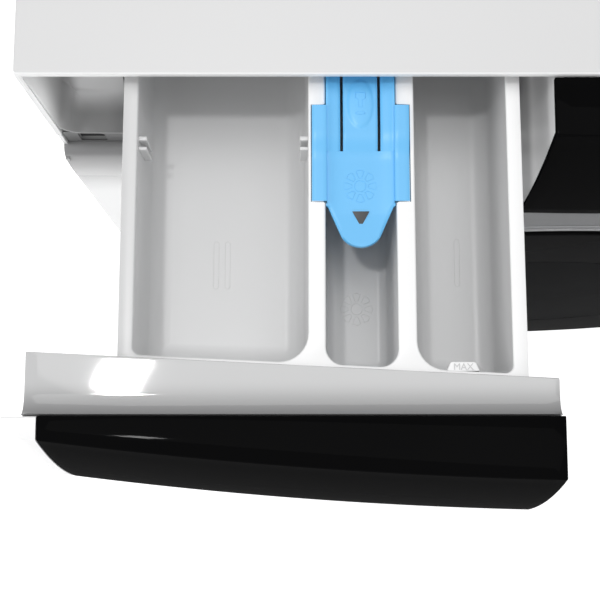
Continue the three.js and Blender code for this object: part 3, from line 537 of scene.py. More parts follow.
# Dark blue strips along the cap's wings: painted shadow in the gaps beside them.
PAINTED_GAP_SHADE = moulded("blue_shadow_gap", (0.025, 0.10, 0.17), 0.6, 900.0, 0.00001, 0.1, 0.05)
SMOKED = glazed("smoked_glass", (0.03, 0.031, 0.034), 0.02, 0.9, IOR=1.004, Coat_Weight=0.02,
                Coat_Roughness=0.03)
CLEAR = glazed("clear_glass", (0.93, 0.96, 0.955), 0.02, 0.97, IOR=1.5)
SILVER = moulded("silver_plated", (0.66, 0.665, 0.675), 0.24, 900.0, 0.00001, 0.15, 0.02, Metallic=0.9)
STEEL = moulded("bright_steel", (0.58, 0.585, 0.59), 0.28, 700.0, 0.00003, 0.3, 0.06, 0.12,
                (1, 0.06, 1), Metallic=1.0)
DRUM_STEEL = moulded("brushed_stainless", (0.62, 0.625, 0.63), 0.27, 900.0, 0.00003, 0.3, 0.05, 0.1,
                     (1, 0.04, 1), Metallic=1.0)
CAST = moulded("cast_aluminium", (0.54, 0.545, 0.55), 0.48, 500.0, 0.0001, 0.4, 0.08, 0.15,
        Metallic=0.9)
ZINC = spangled("zinc_sheet", (0.56, 0.575, 0.585))
CONCRETE = speckled("cast_concrete", (0.42, 0.41, 0.39), (0.22, 0.215, 0.205), 0.92)
GREY = moulded("grey_moulding", (0.46, 0.465, 0.475), 0.48, 1100.0, 0.00003, 0.3, 0.05)
RUBBER = moulded("black_rubber", (0.018, 0.018, 0.019), 0.72, 800.0, 0.00005, 0.4, 0.15, 0.12)
BELLOWS = moulded("grey_rubber", (0.20, 0.205, 0.21), 0.55, 700.0, 0.00005, 0.35, 0.08, 0.12)
BOARD = moulded("circuit_laminate", (0.02, 0.14, 0.055), 0.35, 500.0, 0.0001, 0.3, 0.2, 0.1)
# Dark print, and the dark discs of the drum's holes: painted shade where the holes would show the dark
# inside.
PRINT_AND_HOLE_SHADE = moulded("dark_print_and_hole_shade", (0.035, 0.037, 0.04), 0.4, 900.0, 0.00001, 0.1, 0.1)
MARK = moulded("grey_print", (0.42, 0.425, 0.43), 0.45, 900.0, 0.00001, 0.1, 0.03)
GLOW = moulded("display_segment", (0.75, 0.8, 0.82), 0.3, 900.0, 0.00001, 0.1, 0.02,
        Emission_Strength=0.9, Emission_Color=(0.85, 0.93, 1.0, 1.0))

# ---- CAD nodes that keep their shape

CARRIED = {
    ENAMEL: "left_side_panel right_side_panel service_flap",
    ZINC: "rear_panel rear_cover",
    FRONT_PAINTED_SHADE: "front_panel",
    WORKTOP: "top_panel",
    GREY: "base_frame drain_pump door_lock damper_body_left damper_body_right filter_cap tub_front "
           "tub_rear door_latch",
    FRAME_PAINTED_SHADE: "console_frame",
    BLACK: "console_glass drawer_front_fascia",
    WHITE: "dispenser_housing inlet_valve lifter_1 lifter_2 lifter_3 door_inner_ring",
    BOARD: "control_board",
    STEEL: "hinge_bracket heater front_bearing rear_bearing damper_rod_left damper_rod_right "
           "spring_left spring_right motor_pulley drum_shaft door_hinge_arm",
    BELLOWS: "door_gasket",
    RUBBER: "sump_hose cord_gland foot_front_left foot_front_right foot_rear_left foot_rear_right "
           "drive_belt",
    SILVER: "program_knob start_button door_rim",
    CONCRETE: "top_counterweight front_counterweight",
    CAST: "motor_body drum_spider drum_pulley",
    DRUM_STEEL: "drum_shell",
    DISC: "door_front_glass",
    CLEAR: "door_bowl",
    TRAY_PAINTED_SHADE: "drawer_tray",
    SHELF_PAINTED_SHADE: "drawer_front_body",
    BLUE: "siphon_cap release_tab",
}


def dress_cad():
    """Gives every CAD node its finish, and a small bevel to those that stay in view."""
    for material, names in CARRIED.items():
        for name in names.split():
            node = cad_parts[name]
            node.data.materials.clear()
            node.data.materials.append(material)
            soften = node.modifiers.new("soft_edges", "BEVEL")
            soften.width = SOFT_EDGE * MM
            soften.segments = 2
            soften.limit_method = "ANGLE"
            soften.angle_limit = radians(40)
            soften.harden_normals = False


# ---- the drawer

TRAY_BOX = extent("drawer_tray")
RIM = TRAY_BOX[5]
FLOOR = RIM - 48.0
SLANT = -0.05
DIVIDERS = ((-163.3, -155.5), (-123.0, -114.6))
LEFT_RIM, RIGHT_RIM = TRAY_BOX[0] + 6.9, TRAY_BOX[1] - 6.7


def shelf_back(x):
    """The back edge of the drawer's shelf, with the drawer out."""
    return 25.7 + SLANT * (x + 236) - TRAVEL


def compartment(x0, x1, rear, left_r, right_r, floor_r):
    """The loops of a compartment's inner surface, from its rounded mouth down to its floor."""
    mouth = [(x0, shelf_back(x0) + 1.4, left_r), (x1, shelf_back(x1) + 1.4, right_r), (x1, rear, 4),
        (x0, rear, 4)]
    edge = 0.9
    draft = 1.2
    levels = []
    for k in range(5):
        a = pi / 2 * k / 4
        levels.append((-edge * (1 - sin(a)), RIM - edge + edge * cos(a)))
    for k in range(1, 4):
        levels.append((draft * k / 3, RIM - edge - (RIM - edge - FLOOR - floor_r) * k / 3))
    for k in range(1, 9):
        a = pi / 2 * k / 8
        levels.append((draft + floor_r * (1 - cos(a)), FLOOR + floor_r * (1 - sin(a))))
    return [[P(p.x, p.y, z) for p in rounded(shrunk(mouth, d), 8)] for d, z in levels]


def fill_between(bm, outer, holes):
    """A flat face with holes, from loops of vertices."""
    edges = []
    for loop in [outer, *holes]:
        for a, b in zip(loop, loop[1:] + loop[:1]):
            edges.append(bm.edges.get((a, b)) or bm.edges.new((a, b)))
    bmesh.ops.triangle_fill(bm, use_beauty=True, edges=edges)


def drawer_tray():
    bm = bmesh.new()
    rear = TRAY_BOX[3]
    cups = [
        compartment(LEFT_RIM, DIVIDERS[0][0], rear - 7, 3.5, 13, 10),
        compartment(DIVIDERS[0][1], DIVIDERS[1][0], rear - 52, 8, 8, 5),
        compartment(DIVIDERS[1][1], RIGHT_RIM, rear - 7, 13, 3.5, 9),
    ]
    mouths = [rings(bm, loops, cap_first=False)[0] for loops in cups]
    x0, x1 = TRAY_BOX[0], TRAY_BOX[1]
    rim = rounded([(x0, shelf_back(x0) - 4.6, 3), (x1, shelf_back(x1) - 4.6, 3), (x1, rear, 3),
        (x0, rear, 3)], 4)
    levels = [(0.5, RIM), (0.15, RIM - 0.15), (0, RIM - 0.5), (0, RIM - 3.6), (0.3, RIM - 4),
              (3.4, RIM - 4), (3.7, RIM - 6), (5.5, FLOOR - 1), (7.5, FLOOR - 4), (9, FLOOR - 4.5)]
    made = rings(bm, [[P(p.x, p.y, z) for p in inset(rim, d)] for d, z in levels],
                 cap_first=False)
    fill_between(bm, made[0], mouths)
    # Faces at the rim take the lighter copy, those inside the compartments the darker one: painted
    # shade.
    level = (RIM - 1.4) * MM
    piece("drawer_tray_moulding", bm, TRAY_PAINTED_SHADE, "drawer", "drawer_tray", second=RIM_PAINTED_SHADE,
          split=lambda polygon: 1 if polygon.center.z > level else 0)


def guide_ribs():
    """Two upright blades on either wall of the wide compartment, which hold a flap for liquids."""
    bm = bmesh.new()
    for wall, way in ((LEFT_RIM - 0.3, 1), (DIVIDERS[0][0] + 0.3, -1)):
        a, b = sorted((wall, wall + way * 4.2))
        block(bm, a, b, -26.6, -24.6, RIM - 22, RIM - 2.6, 0.4)
        block(bm, a, b, -31.0, -29.4, RIM - 22, RIM - 3.2, 0.4)
    piece("liquid_flap_guides", bm, TRAY_PAINTED_SHADE, "drawer")


def stadium(x, y0, y1, r):
    return rounded([(x - r, y0, r * 0.98), (x + r, y0, r * 0.98), (x + r, y1, r * 0.98),
        (x - r, y1, r * 0.98)], 6)


def flower(x, y, r):
    """The softener's sign: eight petals around a disc, as outlines."""
    outlines = [circle(x, y, 0.36 * r, 20)]
    for k in range(8):
        a = pi / 4 * k + pi / 2
        petal = []
        for radius, spread in ((0.52 * r, -0.17), (0.98 * r, -0.26), (1.04 * r, 0.0), (0.98 * r, 0.26),
                (0.52 * r, 0.17)):
            petal.append(Vector((x + radius * cos(a + spread), y + radius * sin(a + spread))))
        outlines.append(petal)
    return outlines


def tray_marks():
    bm = bmesh.new()
    for x in (-208.6, -203.0):
        ridge(bm, stadium(x, -88.7, -64.9, 1.25), 0.34, 0.14, FLOOR)
    ridge(bm, stadium(-89.2, -87.4, -63.8, 1.25), 0.34, 0.14, FLOOR)
    for outline in flower(-139.2, -98.9, 7.8):
        ridge(bm, outline, 0.36, 0.16, FLOOR)
    piece("tray_marks", bm, TRAY_PAINTED_SHADE, "drawer")


def max_tab():
    bm = bmesh.new()
    x = -94.2
    y = shelf_back(x) + 1.0
    outline = rounded([(x - 7.6, y, 0.2), (x + 7.6, y, 0.2), (x + 5.6, y + 4.6, 1.6),
        (x - 5.6, y + 4.6, 1.6)], 4)
    slab(bm, "z", outline, RIM - 4, RIM - 1.2, 0.3, 0.5)
    piece("fill_limit_tab", bm, WHITE, "drawer")
    turn = Vector((0, 0, 1)).to_track_quat("Z", "Y").to_matrix()
    turn.rotate(Euler((0, 0, pi)))
    lettering("fill_limit_letters", "MAX", 4.2, P(x, y + 2.2, RIM - 1.1), turn, TRAY_PAINTED_SHADE, "drawer")


CAP = extent("siphon_cap")
CAP_X = (CAP[0] + CAP[1]) / 2
CAP_REAR = CAP[3]
SLOT = (-148.6, -147.25, -131.35, -130.0)
WING_HALF = (CAP[1] - CAP[0]) / 2
BODY_HALF = 15.9


def cap_level(y):
    """The cap's height along y: higher at the back, with a slope down to the front level."""
    t = min(max((y + 37) / 14, 0.0), 1.0)
    return RIM - 0.6 + 2.2 * t * t * (3 - 2 * t)


def strip_y(bm, x_of, stations, top, thickness=3.0, across=12, edge=0.7):
    """A plate that runs along y: x_of(y) gives its two sides, top(x, y) its height."""
    loops = []
    for y in stations:
        a, b = x_of(y)
        upper, lower = [], []
        for k in range(across + 1):
            s = k / across
            x = a + (b - a) * s
            near = min(x - a, b - x)
            drop = edge - sqrt(max(0.0, edge ** 2 - (edge - min(near, edge)) ** 2))
            upper.append(P(x, y, top(x, y) - drop))
            lower.append(P(x, y, top(x, y) - thickness))
        loops.append(upper + lower[::-1])
    rings(bm, loops)


def trough(x, y):
    """The cap's middle is hollowed a little, and its edge stands up beside the dividers."""
    s = min(abs(x - CAP_X) / BODY_HALF, 1.0)
    return cap_level(y) - 1.5 * (1 - s ** 4) * min(1.0, max(0.0, (y + 76) / 14))


def nose_half(y):
    """Half the cap's width along y: straight sides that run into the round nose at its front."""
    if y > -58.4:
        return BODY_HALF
    from_tip = y - CAP[2]
    if from_tip < 5:
        return sqrt(max(0.0, 20.4 * from_tip - from_tip ** 2)) + 0.15
    return min(8.9 + 0.44 * (from_tip - 5), BODY_HALF)


def many(a, b, count):
    return [a + (b - a) * k / count for k in range(count + 1)]


def siphon_cap():
    bm = bmesh.new()
    nose = [CAP[2] + 0.02, CAP[2] + 0.15, CAP[2] + 0.5] + many(CAP[2] + 1.2, -58.4, 22)
    body = many(-57.8, -32.2, 20)
    strip_y(bm, lambda y: (CAP_X - nose_half(y), CAP_X + nose_half(y)), nose + body, trough, across=22)
    rear = many(-32.4, CAP_REAR, 40)
    strip_y(bm, lambda y: (CAP_X - BODY_HALF, SLOT[0]), rear, trough, across=8, edge=0.4)
    strip_y(bm, lambda y: (SLOT[3], CAP_X + BODY_HALF), rear, trough, across=8, edge=0.4)
    for side in (-1, 1):
        a, b = sorted((CAP_X + side * (BODY_HALF - 0.3), CAP_X + side * WING_HALF))
        strip_y(bm, lambda y: (a, b), many(-56.0, -11.2, 36), lambda x, y: cap_level(y) + 0.95, 2.4, 6,
            0.35)
    turned(bm, [(4.4, FLOOR + 6), (7, FLOOR + 6), (7, RIM - 4), (4.4, RIM - 4)], CAP_X, count=28,
            axis="z", y=-47)
    piece("siphon_cap_moulding", bm, BLUE, "drawer", "siphon_cap", sharp=40)
    # Dark strips along the wings' edges: painted shadow in the gaps.
    gap_shade = bmesh.new()
    for side in (-1, 1):
        a, b = CAP_X + side * (BODY_HALF - 0.5), CAP_X + side * (WING_HALF + 0.3)
        path = points_of((a, -56.3), (b, -56.3), (b, -10.3), (a, -10.3))
        ridge(gap_shade, path, 1.15, 0.07, RIM + 0.02, closed=False)
    piece("siphon_cap_painted_gap_shade", gap_shade, PAINTED_GAP_SHADE, "drawer")
    marks = bmesh.new()
    for outline in flower(CAP_X - 0.2, -48.6, 7.4):
        ridge(marks, outline, 0.34, 0.12, trough(CAP_X, -48.6) + 0.02)
    piece("siphon_cap_sign", marks, BLUE, "drawer")
    arrow = bmesh.new()
    top = trough(CAP_X, -64) + 0.25
    outline = rounded([(CAP_X - 3.9, -60.5, 0.06), (CAP_X, -67.9, 0.06), (CAP_X + 3.9, -60.5, 0.06)], 3)
    slab(arrow, "z", outline, top - 1.2, top, 0, 0.05)
    piece("fill_arrow", arrow, PRINT_AND_HOLE_SHADE, "drawer")


def release_tab():
    bm = bmesh.new()

    def pad(x, y):
        """The raised oval for the fingertip."""
        return 0.9 * max(0.0, 1 - (((x - CAP_X) / 6.2) ** 2 + ((y + 10) / 11.5) ** 2)) ** 0.5

    strip_y(bm, lambda y: (SLOT[1], SLOT[2]), many(-32.35, extent("release_tab")[3], 90),
            lambda x, y: trough(x, y) + pad(x, y), 2.6, 24, 0.35)
    piece("release_tongue", bm, BLUE, "release", "release_tab", sharp=45)
    sign = bmesh.new()
    z = trough(CAP_X, -10) + 0.86
    finger = [(-2.2, -3.6), (-2.2, -1.0), (-0.9, -0.2), (-0.9, 3.4), (0.9, 3.4), (0.9, 0.0),
            (2.4, -0.9), (2.2, -3.6)]
    ridge(sign, [Vector((CAP_X + u, -8.4 - v)) for u, v in finger], 0.3, 0.14, z, closed=True)
    ring = [Vector((CAP_X + 2.2 * cos(a), -14.6 + 0.7 * sin(a))) for a in many(0, 2 * pi, 16)[:-1]]
    ridge(sign, ring, 0.28, 0.12, z - 0.06)
    piece("press_sign", sign, BLUE, "release")


def face_line(x, inset_by, top, bottom, count=10, y=0.0):
    return [Vector((p[0] + y, p[1])) for p in
            (face_point(x, k / count, inset_by, top, bottom) for k in range(count + 1))]


def fascia_section(x, y, rear=-0.4):
    """The black fascia: a top plate, a tight edge, the bulging face and a thin folded lower lip."""
    skin = 3.0
    upper = points_of((y + rear, CONSOLE_TOP + 0.7), (y + rear - 0.3, CONSOLE_TOP + 1))
    edge = face_line(x, 0, CONSOLE_TOP, CONSOLE_BOTTOM, y=y)
    crease = Vector((y - bow(x), CONSOLE_TOP))
    soft = 0.7
    round_edge = [crease + Vector((soft * 1.6, 0.35)), crease + Vector((soft * 0.5, 0.12)),
                  crease + Vector((-0.02, -0.25)), crease + Vector((-0.12, -0.9))]
    inner = face_line(x, skin, CONSOLE_TOP - skin, CONSOLE_BOTTOM, y=y)[::-1]
    low = edge[-1]
    return (upper + round_edge + edge[1:-1]
            + [low + Vector((0.0, 0.5)), low + Vector((0.25, 0.1)), low + Vector((0.7, 0.0))]
            + inner + [Vector((y + rear, CONSOLE_TOP + 1 - skin))])


def drawer_front():
    x0, x1 = extent("drawer_front_fascia")[:2]
    bm = solid(loft, x0, x1, lambda x: fascia_section(x, -TRAVEL), 40, 0.5)
    piece("drawer_fascia_gloss", bm, BLACK, "drawer", "drawer_front_fascia", sharp=50)
    body = bmesh.new()
    under = CONSOLE_TOP - 3.4

    def section(x):
        back = shelf_back(x)
        y = -TRAVEL
        curve = []
        for k in range(9):
            a = pi / 2 * k / 8
            curve.append(Vector((y + 9.0 - 8.6 * sin(a), SHELF_TOP + 4.6 * (1 - cos(a)))))
        return (points_of((back - 0.5, SHELF_TOP - 3.1), (back, SHELF_TOP - 2.6),
                (back, SHELF_TOP - 0.6), (back - 0.2, SHELF_TOP - 0.15), (back - 0.7, SHELF_TOP),
                (back - 1.2, SHELF_TOP), (y + 9.6, SHELF_TOP)) + curve + [Vector((y - 0.35, under))]
                + face_line(x, 3.4, under, CONSOLE_BOTTOM + 1, y=y)
                + points_of((y + 3, CONSOLE_BOTTOM + 1), (y + 3, 832), (y + 6, SHELF_TOP - 3.1)))

    left = extent("drawer_front_body")[0]
    loft(body, left + 8.6, x1 - 1.0, section, 40, 0.5)
    # The shelf's material is a darker copy of the white moulding, with painted shade towards its front.
    piece("drawer_shelf", body, SHELF_PAINTED_SHADE, "drawer", "drawer_front_body", sharp=40)
    cap = bmesh.new()
    y = -TRAVEL

    def end_section(x):
        return (points_of((y - 0.6, CONSOLE_TOP), (y - 1.2, CONSOLE_TOP + 0.5))
                + [Vector((y - max(bow(x) - 0.8, 1.4), CONSOLE_TOP + 0.4))]
                + face_line(x, 0, CONSOLE_TOP, CONSOLE_BOTTOM, y=y)
                + [Vector((y - 0.6, CONSOLE_BOTTOM))])

    stations = [left + CORNER * (1 - cos(pi / 2 * k / 12)) for k in range(13)]
    loops = [[P(x, p.x, p.y) for p in end_section(x + 0.08)] for x in stations]
    loops.append([P(x0 - 0.3, p.x, p.y) for p in end_section(x0 - 0.3)])
    rings(cap, loops)
    piece("drawer_round_end", cap, WHITE, "drawer", sharp=40)


# ---- the worktop and the console

def worktop():
    x0, x1, y0, y1, z0, z1 = extent("top_panel")
    bm = bmesh.new()
    lip = 3.5
    outline = rectangle(x0, x1, y0, y1, 1.5, 6)
    slab(bm, "z", outline, z1 - lip, z1, 0.3, 1.2, 4)
    wall = 2.1
    skirt = rounded([(x0, y0 + 0.4, 0.6), (x0 + wall, y0 + 0.4, 0.6), (x0 + wall, y1 - wall, 2),
            (x1 - wall, y1 - wall, 2), (x1 - wall, y0 + 0.4, 0.6), (x1, y0 + 0.4, 0.6), (x1, y1, 1.5),
            (x0, y1, 1.5)], 4)
    slab(bm, "z", skirt, z0, z1 - lip + 0.1, 0.5, 0)
    level, under = (z1 - 0.1) * MM, (z1 - lip) * MM
    front = (EDGE + 1.4) * MM

    def finish(polygon):
        at_edge = polygon.center.z < level and polygon.center.y < front
        return 1 if at_edge or polygon.center.z < under else 0

    piece("worktop_panel", bm, WORKTOP, "cabinet", "top_panel", second=WHITE, split=finish)


def console():
    x0, x1 = extent("console_glass")[:2]
    bm = solid(loft, x0, x1, lambda x: fascia_section(x, 0.0), 48, 0.5)
    piece("console_fascia_gloss", bm, BLACK, "cabinet", "console_glass", sharp=50)


# ---- the niche beside the drawer

def niche():
    """The moulded corner left of the tray: a side wall and a back wall that run into each other."""
    bm = bmesh.new()
    wall, back, front = -294.9, 31.2, 1.4
    corner, foot, top, floor = 5.0, 13.0, 845.9, 757.8
    right = extent("dispenser_housing")[0] + 0.5

    def plan(d):
        r = max(corner - d, 0.6)
        line = [(wall + d, front), (wall + d, back - d - r)]
        for k in range(1, 10):
            a = pi - pi / 2 * k / 9
            line.append((wall + d + r + r * cos(a), back - d - r + r * sin(a)))
        return line + [(right, back - d)]

    levels = [(0.0, top), (0.0, 820.0), (0.0, floor + foot)]
    for k in range(1, 9):
        a = pi / 2 * k / 8
        levels.append((foot * (1 - cos(a)), floor + foot * (1 - sin(a))))
    loops = [[P(x, y, z) for x, y in plan(d)] for d, z in levels]
    made = rings(bm, loops, close=False, cap_first=False, cap_last=False)
    corner_vert = bm.verts.new(P(right, front, floor))
    bm.faces.new(made[-1] + [corner_vert])
    # Its material paints the shade in the corner and on the floor.
    obj = piece("drawer_niche", bm, NICHE_PAINTED_SHADE, "cabinet", sharp=60)
    thick = obj.modifiers.new("wall", "SOLIDIFY")
    thick.thickness = 1.4 * MM
    thick.offset = -1.0
    edge = bmesh.new()
    shape = rounded([(-297.3, floor + 0.5, 1.1), (wall + 0.25, floor + 0.5, 1.1),
            (wall + 0.25, top, 0.1), (-297.3, top, 0.1)], 5)
    slab(edge, "y", shape, 2.4, 0.7, 0.1, 0.3)
    piece("niche_front_edge", edge, WHITE, "cabinet")


def bar_face():
    """The face of the cross bar under the niche, with a pocket for the drawer's stop."""
    outer = rectangle(-294.6, -262, 741.4, 757.7, 0.5, 3)
    mouth = rounded([(-287.2, 743.1, 0.8), (-272.8, 743.1, 1.2), (-272.8, 755.3, 3.2),
        (-287.2, 755.3, 1.2)], 5)
    bm = bmesh.new()
    sides = []
    for y in (2.2, 3.0):
        loops = [[bm.verts.new(P(p.x, y, p.y)) for p in line] for line in (outer, mouth)]
        fill_between(bm, loops[0], loops[1:])
        sides.append(loops)
    for front, rear in zip(*sides):
        bridge(bm, front, rear)
    piece("cross_bar_face", bm, BAR, "cabinet")
    # The near-black plate stands in for the shade inside the pocket.
    pocket = solid(slab, "y", rectangle(-287.45, -272.45, 742.65, 755.45, 0.4, 3), 8.0, 5.2, 0, 0.3)
    piece("cross_bar_pocket_painted_shade", pocket, POCKET_PAINTED_SHADE, "cabinet")


# ---- the front

def smooth_line(points, steps=4):
    """A smooth line through points (Catmull-Rom)."""
    out = []
    last = len(points) - 1
    for i in range(last):
        p0, p1, p2, p3 = (Vector(points[max(0, min(last, i + k))]) for k in (-1, 0, 1, 2))
        for k in range(steps):
            t = k / steps
            out.append(0.5 * (2 * p1 + (p2 - p0) * t + (2 * p0 - 5 * p1 + 4 * p2 - p3) * t * t
                              + (3 * p1 - p0 - 3 * p2 + p3) * t ** 3))
    out.append(Vector(points[-1]))
    return out


def front_shoulder():
    """The rolled top edge of the sheet front, under the console and the drawer, with painted shade that
    darkens it towards the top.
    """
    bm = bmesh.new()
    outer = smooth_line([(2.6, 740.15), (0.8, 740.05), (-1.0, 739.75), (-2.9, 738.6), (-4.55, 736.7),
                         (-5.5, 733), (-6.15, 728), (-6.6, 721), (-6.68, 714), (-6.58, 700)])
    section = outer + [p + Vector((0.9, -0.7)) for p in reversed(outer)]
    loft(bm, -HALF - 0.05, HALF + 0.05, lambda x: section, 4, 0.12)
    piece("front_panel_shoulder", bm, FRONT_PAINTED_SHADE, "cabinet", sharp=60)


def door():
    glass = bmesh.new()
    r = DOOR_R - 0.6
    turned(glass, [(149.6, -33.1), (149.6, -36.4), (150.2, -36.95), (r - 3.2, -36.95), (r - 1.6, -36.8),
            (r - 0.6, -36.3), (r - 0.1, -35.6), (r, -34.9), (r - 0.8, -34.7), (r - 6, -33.1)],
            count=144)
    piece("door_disc_gloss", glass, DISC, "door", "door_front_glass")
    window = solid(turned, [(0, -36.9), (148.6, -36.9), (149.3, -36.4), (149.3, -33.4), (0, -33.4)],
        count=96)
    piece("door_window", window, SMOKED, "door")
    trim = solid(turned, [(r - 5, -32.9), (r - 0.4, -34.5), (r + 0.3, -34.6), (r + 0.6, -34.0),
            (r + 0.6, -32.4), (r + 0.2, -31.6), (r - 1, -31.0), (r - 4, -31.2)], count=144)
    piece("door_trim_ring", trim, SILVER, "door")
    bowl = solid(turned, [(0, 82), (40, 81.8), (70, 81), (86, 79.2), (97, 76.5), (103, 72), (106.5, 66),
            (123, 33), (137, 6), (140, 0), (140.2, -8), (141.5, -11), (145, -11.4), (157.4, -11.6),
            (158.1, -12.4), (158.1, -15.2), (157, -15.9), (136, -15.9), (134.4, -14.8), (133.9, -1),
            (118, 32), (101, 65), (98, 69.5), (93, 72.4), (84, 74.6), (68, 76), (40, 76.8), (0, 77)],
            count=96)
    piece("door_bowl_glass", bowl, CLEAR, "door", "door_bowl", sharp=50)
    ring = solid(turned, [(159.2, -32.2), (198, -32.2), (199.2, -31.4), (199.2, -12), (198.2, -10.4),
            (194, -9.2), (176, -8.4), (150, -8.8), (144, -9.2), (142.2, -10.2), (143, -10.9),
            (158.8, -11.0)], count=96)
    piece("door_inner_moulding", ring, WHITE, "door", "door_inner_ring", sharp=45)
    pins = bmesh.new()
    for k in range(8):
        a = pi / 4 * k + pi / 8
        turned(pins, [(0, -8.4), (3.4, -8.3), (4.4, -8.0), (4.6, -7.4), (3.2, -6.6), (1.2, -6.5),
                (0, -6.5)], 184 * cos(a), DOOR_Z + 184 * sin(a), 14)
    piece("door_ring_screws", pins, STEEL, "door")


def face_frame(x, t):
    """A place on the console's face, with the directions across it, up along it and out of it."""
    y, z = face_point(x, t)
    lean = atan2(LEAN, CONSOLE_TOP - CONSOLE_BOTTOM)
    return (P(x, y, z), Vector((1, 0, 0)), Vector((0, sin(lean), cos(lean))),
            Vector((0, -cos(lean), sin(lean))))


def face_turned(bm, profile, x, t, count=96, flutes=0, between=(0, 0), depth=0.0):
    """A profile of (radius, out) points turned about the console face's normal, fluted if asked."""
    o, across, up, out = face_frame(x, t)
    loops = []
    for r, d in profile:
        loop = []
        for k in range(count):
            a = 2 * pi * k / count
            q = r
            if flutes and between[0] <= d <= between[1]:
                q = r - depth * (0.5 - 0.5 * cos(flutes * a))
            loop.append(o + (across * (q * cos(a)) + up * (q * sin(a)) + out * d) * MM)
        loops.append(loop)
    rings(bm, loops)


def face_plate(bm, x, shape, low, high):
    """An outline on the middle of the console's face at x, made into a plate along its normal."""
    o, across, up, out = face_frame(x, 0.5)
    rings(bm, [[o + (across * p.x + up * p.y + out * d) * MM for p in shape] for d in (low, high)])


def on_face(bm, x, t, half_x, half_z, height=0.16, turn=0.0, r=0.3):
    """A small raised bar on the console's face, turned about the face's normal if asked."""
    o, across, up, out = face_frame(x, t)
    a, b = cos(turn), sin(turn)
    along, side = across * a + up * b, up * a - across * b
    shape = rectangle(-half_x, half_x, -half_z, half_z, min(r, half_x * 0.9, half_z * 0.9), 3)
    rings(bm, [[o + (along * p.x + side * p.y + out * d) * MM for p in inset(shape, i)]
               for d, i in ((-0.5, 0), (height - 0.05, 0), (height, 0.05))])


def at_face(up_mm):
    """The face's parameter t for a height above the middle of its front."""
    return 0.5 - up_mm / (CONSOLE_TOP - CONSOLE_BOTTOM)


def knob():
    bm = bmesh.new()
    profile = [(0.4, -26), (4, -26), (4, 0.6), (27.2, 0.6), (27.9, 1.1), (28, 1.8), (27.9, 3.4),
            (27.4, 4.0), (26.9, 4.3)]
    profile += [(26.9 - 1.4 * k / 8, 4.6 + 13.4 * k / 8) for k in range(9)]
    profile += [(25.2, 18.8), (24.6, 19.9), (23.6, 20.8), (22.4, 21.3), (21.6, 21.35), (21.2, 21.1),
            (20.9, 20.7), (0.4, 20.7)]
    face_turned(bm, profile, KNOB_X, 0.5, 288, 48, (4.6, 18.1), 0.7)
    piece("program_knob_fluted", bm, SILVER, "knob", "program_knob", sharp=40)
    mark = solid(face_plate, KNOB_X, rectangle(-0.7, 0.7, 9.5, 19.5, 0.6, 4), 20.2, 20.95)
    piece("program_knob_pointer", mark, PRINT_AND_HOLE_SHADE, "knob")
    dots = bmesh.new()
    for k in range(16):
        a = 2 * pi * k / 16 + pi / 2
        on_face(dots, KNOB_X + 33.5 * cos(a), at_face(33.5 * sin(a)), 1.0 if k % 4 == 0 else 0.55,
                0.55, 0.14, a, 0.5)
    piece("program_marks", dots, MARK, "cabinet")


SEGMENTS = {"0": "abcdef", "1": "bc", "2": "abged", "3": "abgcd", "4": "fgbc", "5": "afgcd",
        "8": "abcdefg"}


def digit(bm, character, x, height=8.0):
    half, w = height / 2, height * 0.27
    places = {"a": (0, half, 0), "g": (0, 0, 0), "d": (0, -half, 0), "f": (-w, half / 2, 1),
            "b": (w, half / 2, 1), "e": (-w, -half / 2, 1), "c": (w, -half / 2, 1)}
    for name in SEGMENTS[character]:
        dx, dz, upright = places[name]
        sizes = (0.42, half / 2 - 0.55) if upright else (w - 0.5, 0.42)
        on_face(bm, x + dx, at_face(dz + 2), *sizes, 0.12, 0.0, 0.4)


def console_marks():
    digits = bmesh.new()
    for character, x in (("2", 121), ("1", 130.5), ("5", 138)):
        digit(digits, character, x)
    for dz in (1.6, -1.6):
        on_face(digits, 125.6, at_face(dz + 2), 0.5, 0.5, 0.12, 0.0, 0.45)
    piece("display_digits", digits, GLOW, "cabinet")
    touch = bmesh.new()
    for k in range(5):
        x = 160 + 17 * k
        on_face(touch, x, at_face(9), 4.5, 0.3, 0.1, 0.0, 0.25)
        on_face(touch, x, at_face(-9), 2.6, 0.5, 0.12, 0.0, 0.45)
    for k in range(3):
        on_face(touch, DISPLAY_X + 6 * (k - 1), at_face(-10), 1.1, 0.5, 0.12, 0.0, 0.45)
    piece("touch_marks", touch, MARK, "cabinet")
    button = solid(face_turned, [(0.3, -3), (8.5, -3), (8.5, 1.4), (8.3, 1.9), (7.8, 2.3), (7.0, 2.45),
            (5.8, 2.3), (0.3, 2.1)], START_X, 0.5, 64)
    piece("start_button_cap", button, SILVER, "start", "start_button", sharp=40)
    sign = bmesh.new()
    for shape in (rounded([(-2.6, -2.4, 0.2), (1.0, 0, 0.2), (-2.6, 2.4, 0.2)], 3),
            rectangle(1.6, 2.3, -2.3, 2.3, 0.2), rectangle(2.9, 3.6, -2.3, 2.3, 0.2)):
        face_plate(sign, START_X, shape, 1.9, 2.25)
    piece("start_button_sign", sign, PRINT_AND_HOLE_SHADE, "start")


def lower_front():
    x0, x1, y0, y1, z0, z1 = extent("service_flap")
    flap = solid(slab, "y", rectangle(x0, x1, z0, z1, 3, 6), y0 + 2, y0 - 0.05, 0.3, 0.6)
    block(flap, 190, 220, y0 + 1, y1, 112, 118, 0.5)
    slab(flap, "y", rectangle(192, 218, z1 - 7.5, z1 - 3.5, 1.8, 5), y0 + 0.5, y0 - 0.5, 0.1, 0.35)
    piece("service_flap_panel", flap, ENAMEL, "flap", "service_flap")


# ---- inside

